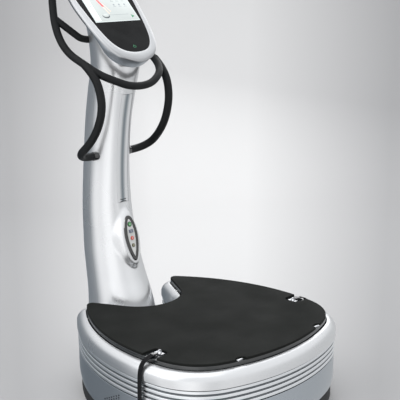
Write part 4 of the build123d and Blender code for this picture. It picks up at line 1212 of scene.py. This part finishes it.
# the room's light by compass degrees round the machine, from the viewing side: left is negative
ROOM_TURN = radians(225.8)
ROOM = (
    (-180, (0.60, 0.61, 0.62)), (-150, (0.16, 0.19, 0.22)), (-98, (0.16, 0.19, 0.22)),
    (-66, (1.35, 1.35, 1.36)), (-45, (1.20, 1.20, 1.21)), (-28, (1.55, 1.55, 1.56)),
    (-8, (1.70, 1.70, 1.70)), (6, (1.25, 1.25, 1.26)), (20, (1.00, 1.01, 1.02)),
    (45, (1.20, 1.20, 1.21)), (80, (0.95, 0.96, 0.97)), (120, (0.80, 0.81, 0.82)),
    (180, (0.60, 0.61, 0.62)),
)
OVERHEAD, OVERHEAD_FADE, ROOM_STRENGTH = (1.3, 1.31, 1.33), (0.1, 0.55), 0.95
# name, place, aim, size and watts
LAMPS = (
    ("key", (-3.0, 0.6, 2.4), (0, 0.1, 0.4), (2.8, 2.8), 26),
    ("rear", (2.4, 1.6, 2.4), (0, 0.2, 0.6), (2.6, 3.0), 30),
    ("top", (-0.3, 0.2, 3.6), (0, 0, 0), (3.6, 3.6), 28),
)


def make_lights():
    world = bpy.data.worlds.new("studio")
    bpy.context.scene.world = world
    world.use_nodes = True
    nodes = Nodes(world.node_tree)
    direction = nodes.node("ShaderNodeTexCoord").outputs["Generated"]
    around = direction_ramp(nodes, direction, ROOM, ROOM_TURN)
    rise = nodes.remap(nodes.split(direction)["Z"], *OVERHEAD_FADE)
    rise.node.interpolation_type = "SMOOTHSTEP"
    background = nodes.tree.nodes["Background"]
    nodes.link(nodes.blend(rise, around, OVERHEAD), background.inputs["Color"])
    background.inputs["Strength"].default_value = ROOM_STRENGTH
    for name, place, aim, size, power in LAMPS:
        data = bpy.data.lights.new(name, "AREA")
        data.shape, data.size, data.size_y, data.energy = "RECTANGLE", *size, power
        lamp = add_object(name, data)
        lamp.location = place
        lamp.rotation_euler = (Vector(aim) - Vector(place)).to_track_quat("-Z", "Y").to_euler()


def make_stage():
    """Pale floor that curves up into a backdrop behind the machine, with a painted pool of light that
    makes it brightest in its middle.
    """
    steps, half, tall, far, bend = 24, 9.0, 9.0, 2.6, 2.0
    ahead = Vector((0.717, 0.697, 0))
    across = Vector((ahead.y, -ahead.x, 0))
    line = [(-half, 0.0), (far, 0.0)]
    for i in range(1, steps + 1):
        angle = i / steps * pi / 2
        line.append((far + bend * sin(angle), bend * (1 - cos(angle))))
    line.append((far + bend, tall))
    points = [ahead * d + across * side * half + Vector((0, 0, z)) for d, z in line for side in (-1, 1)]
    faces = [(2 * i, 2 * i + 1, 2 * i + 3, 2 * i + 2) for i in range(len(line) - 1)]
    mesh = bpy.data.meshes.new("floor")
    mesh.from_pydata([tuple(p) for p in points], [], faces)
    mesh.shade_smooth()
    made = Surface("floor", (0.64, 0.64, 0.64), roughness=0.7, Specular_IOR_Level=0.1)
    apex = -(Matrix.Rotation(CAMERA_TURN, 3, "Z") @ LIGHT_POOL_APEX)
    mapping = made.node("ShaderNodeMapping", Rotation=(0, 0, CAMERA_TURN), Location=apex)
    made.link(made.place(), mapping.inputs["Vector"])
    spot = made.split(mapping.outputs["Vector"])
    slope = made.math("DIVIDE", spot["X"], spot["Y"])
    # painted pool of light: darker outside a pale wedge that widens from the apex
    made.vary_color(made.math("ABSOLUTE", slope), (0.38, 0.38, 0.385), *LIGHT_POOL_FADE)
    mesh.materials.append(made.material)
    floor = add_object("floor", mesh)
    floor.visible_glossy = False


make_lights()
make_stage()
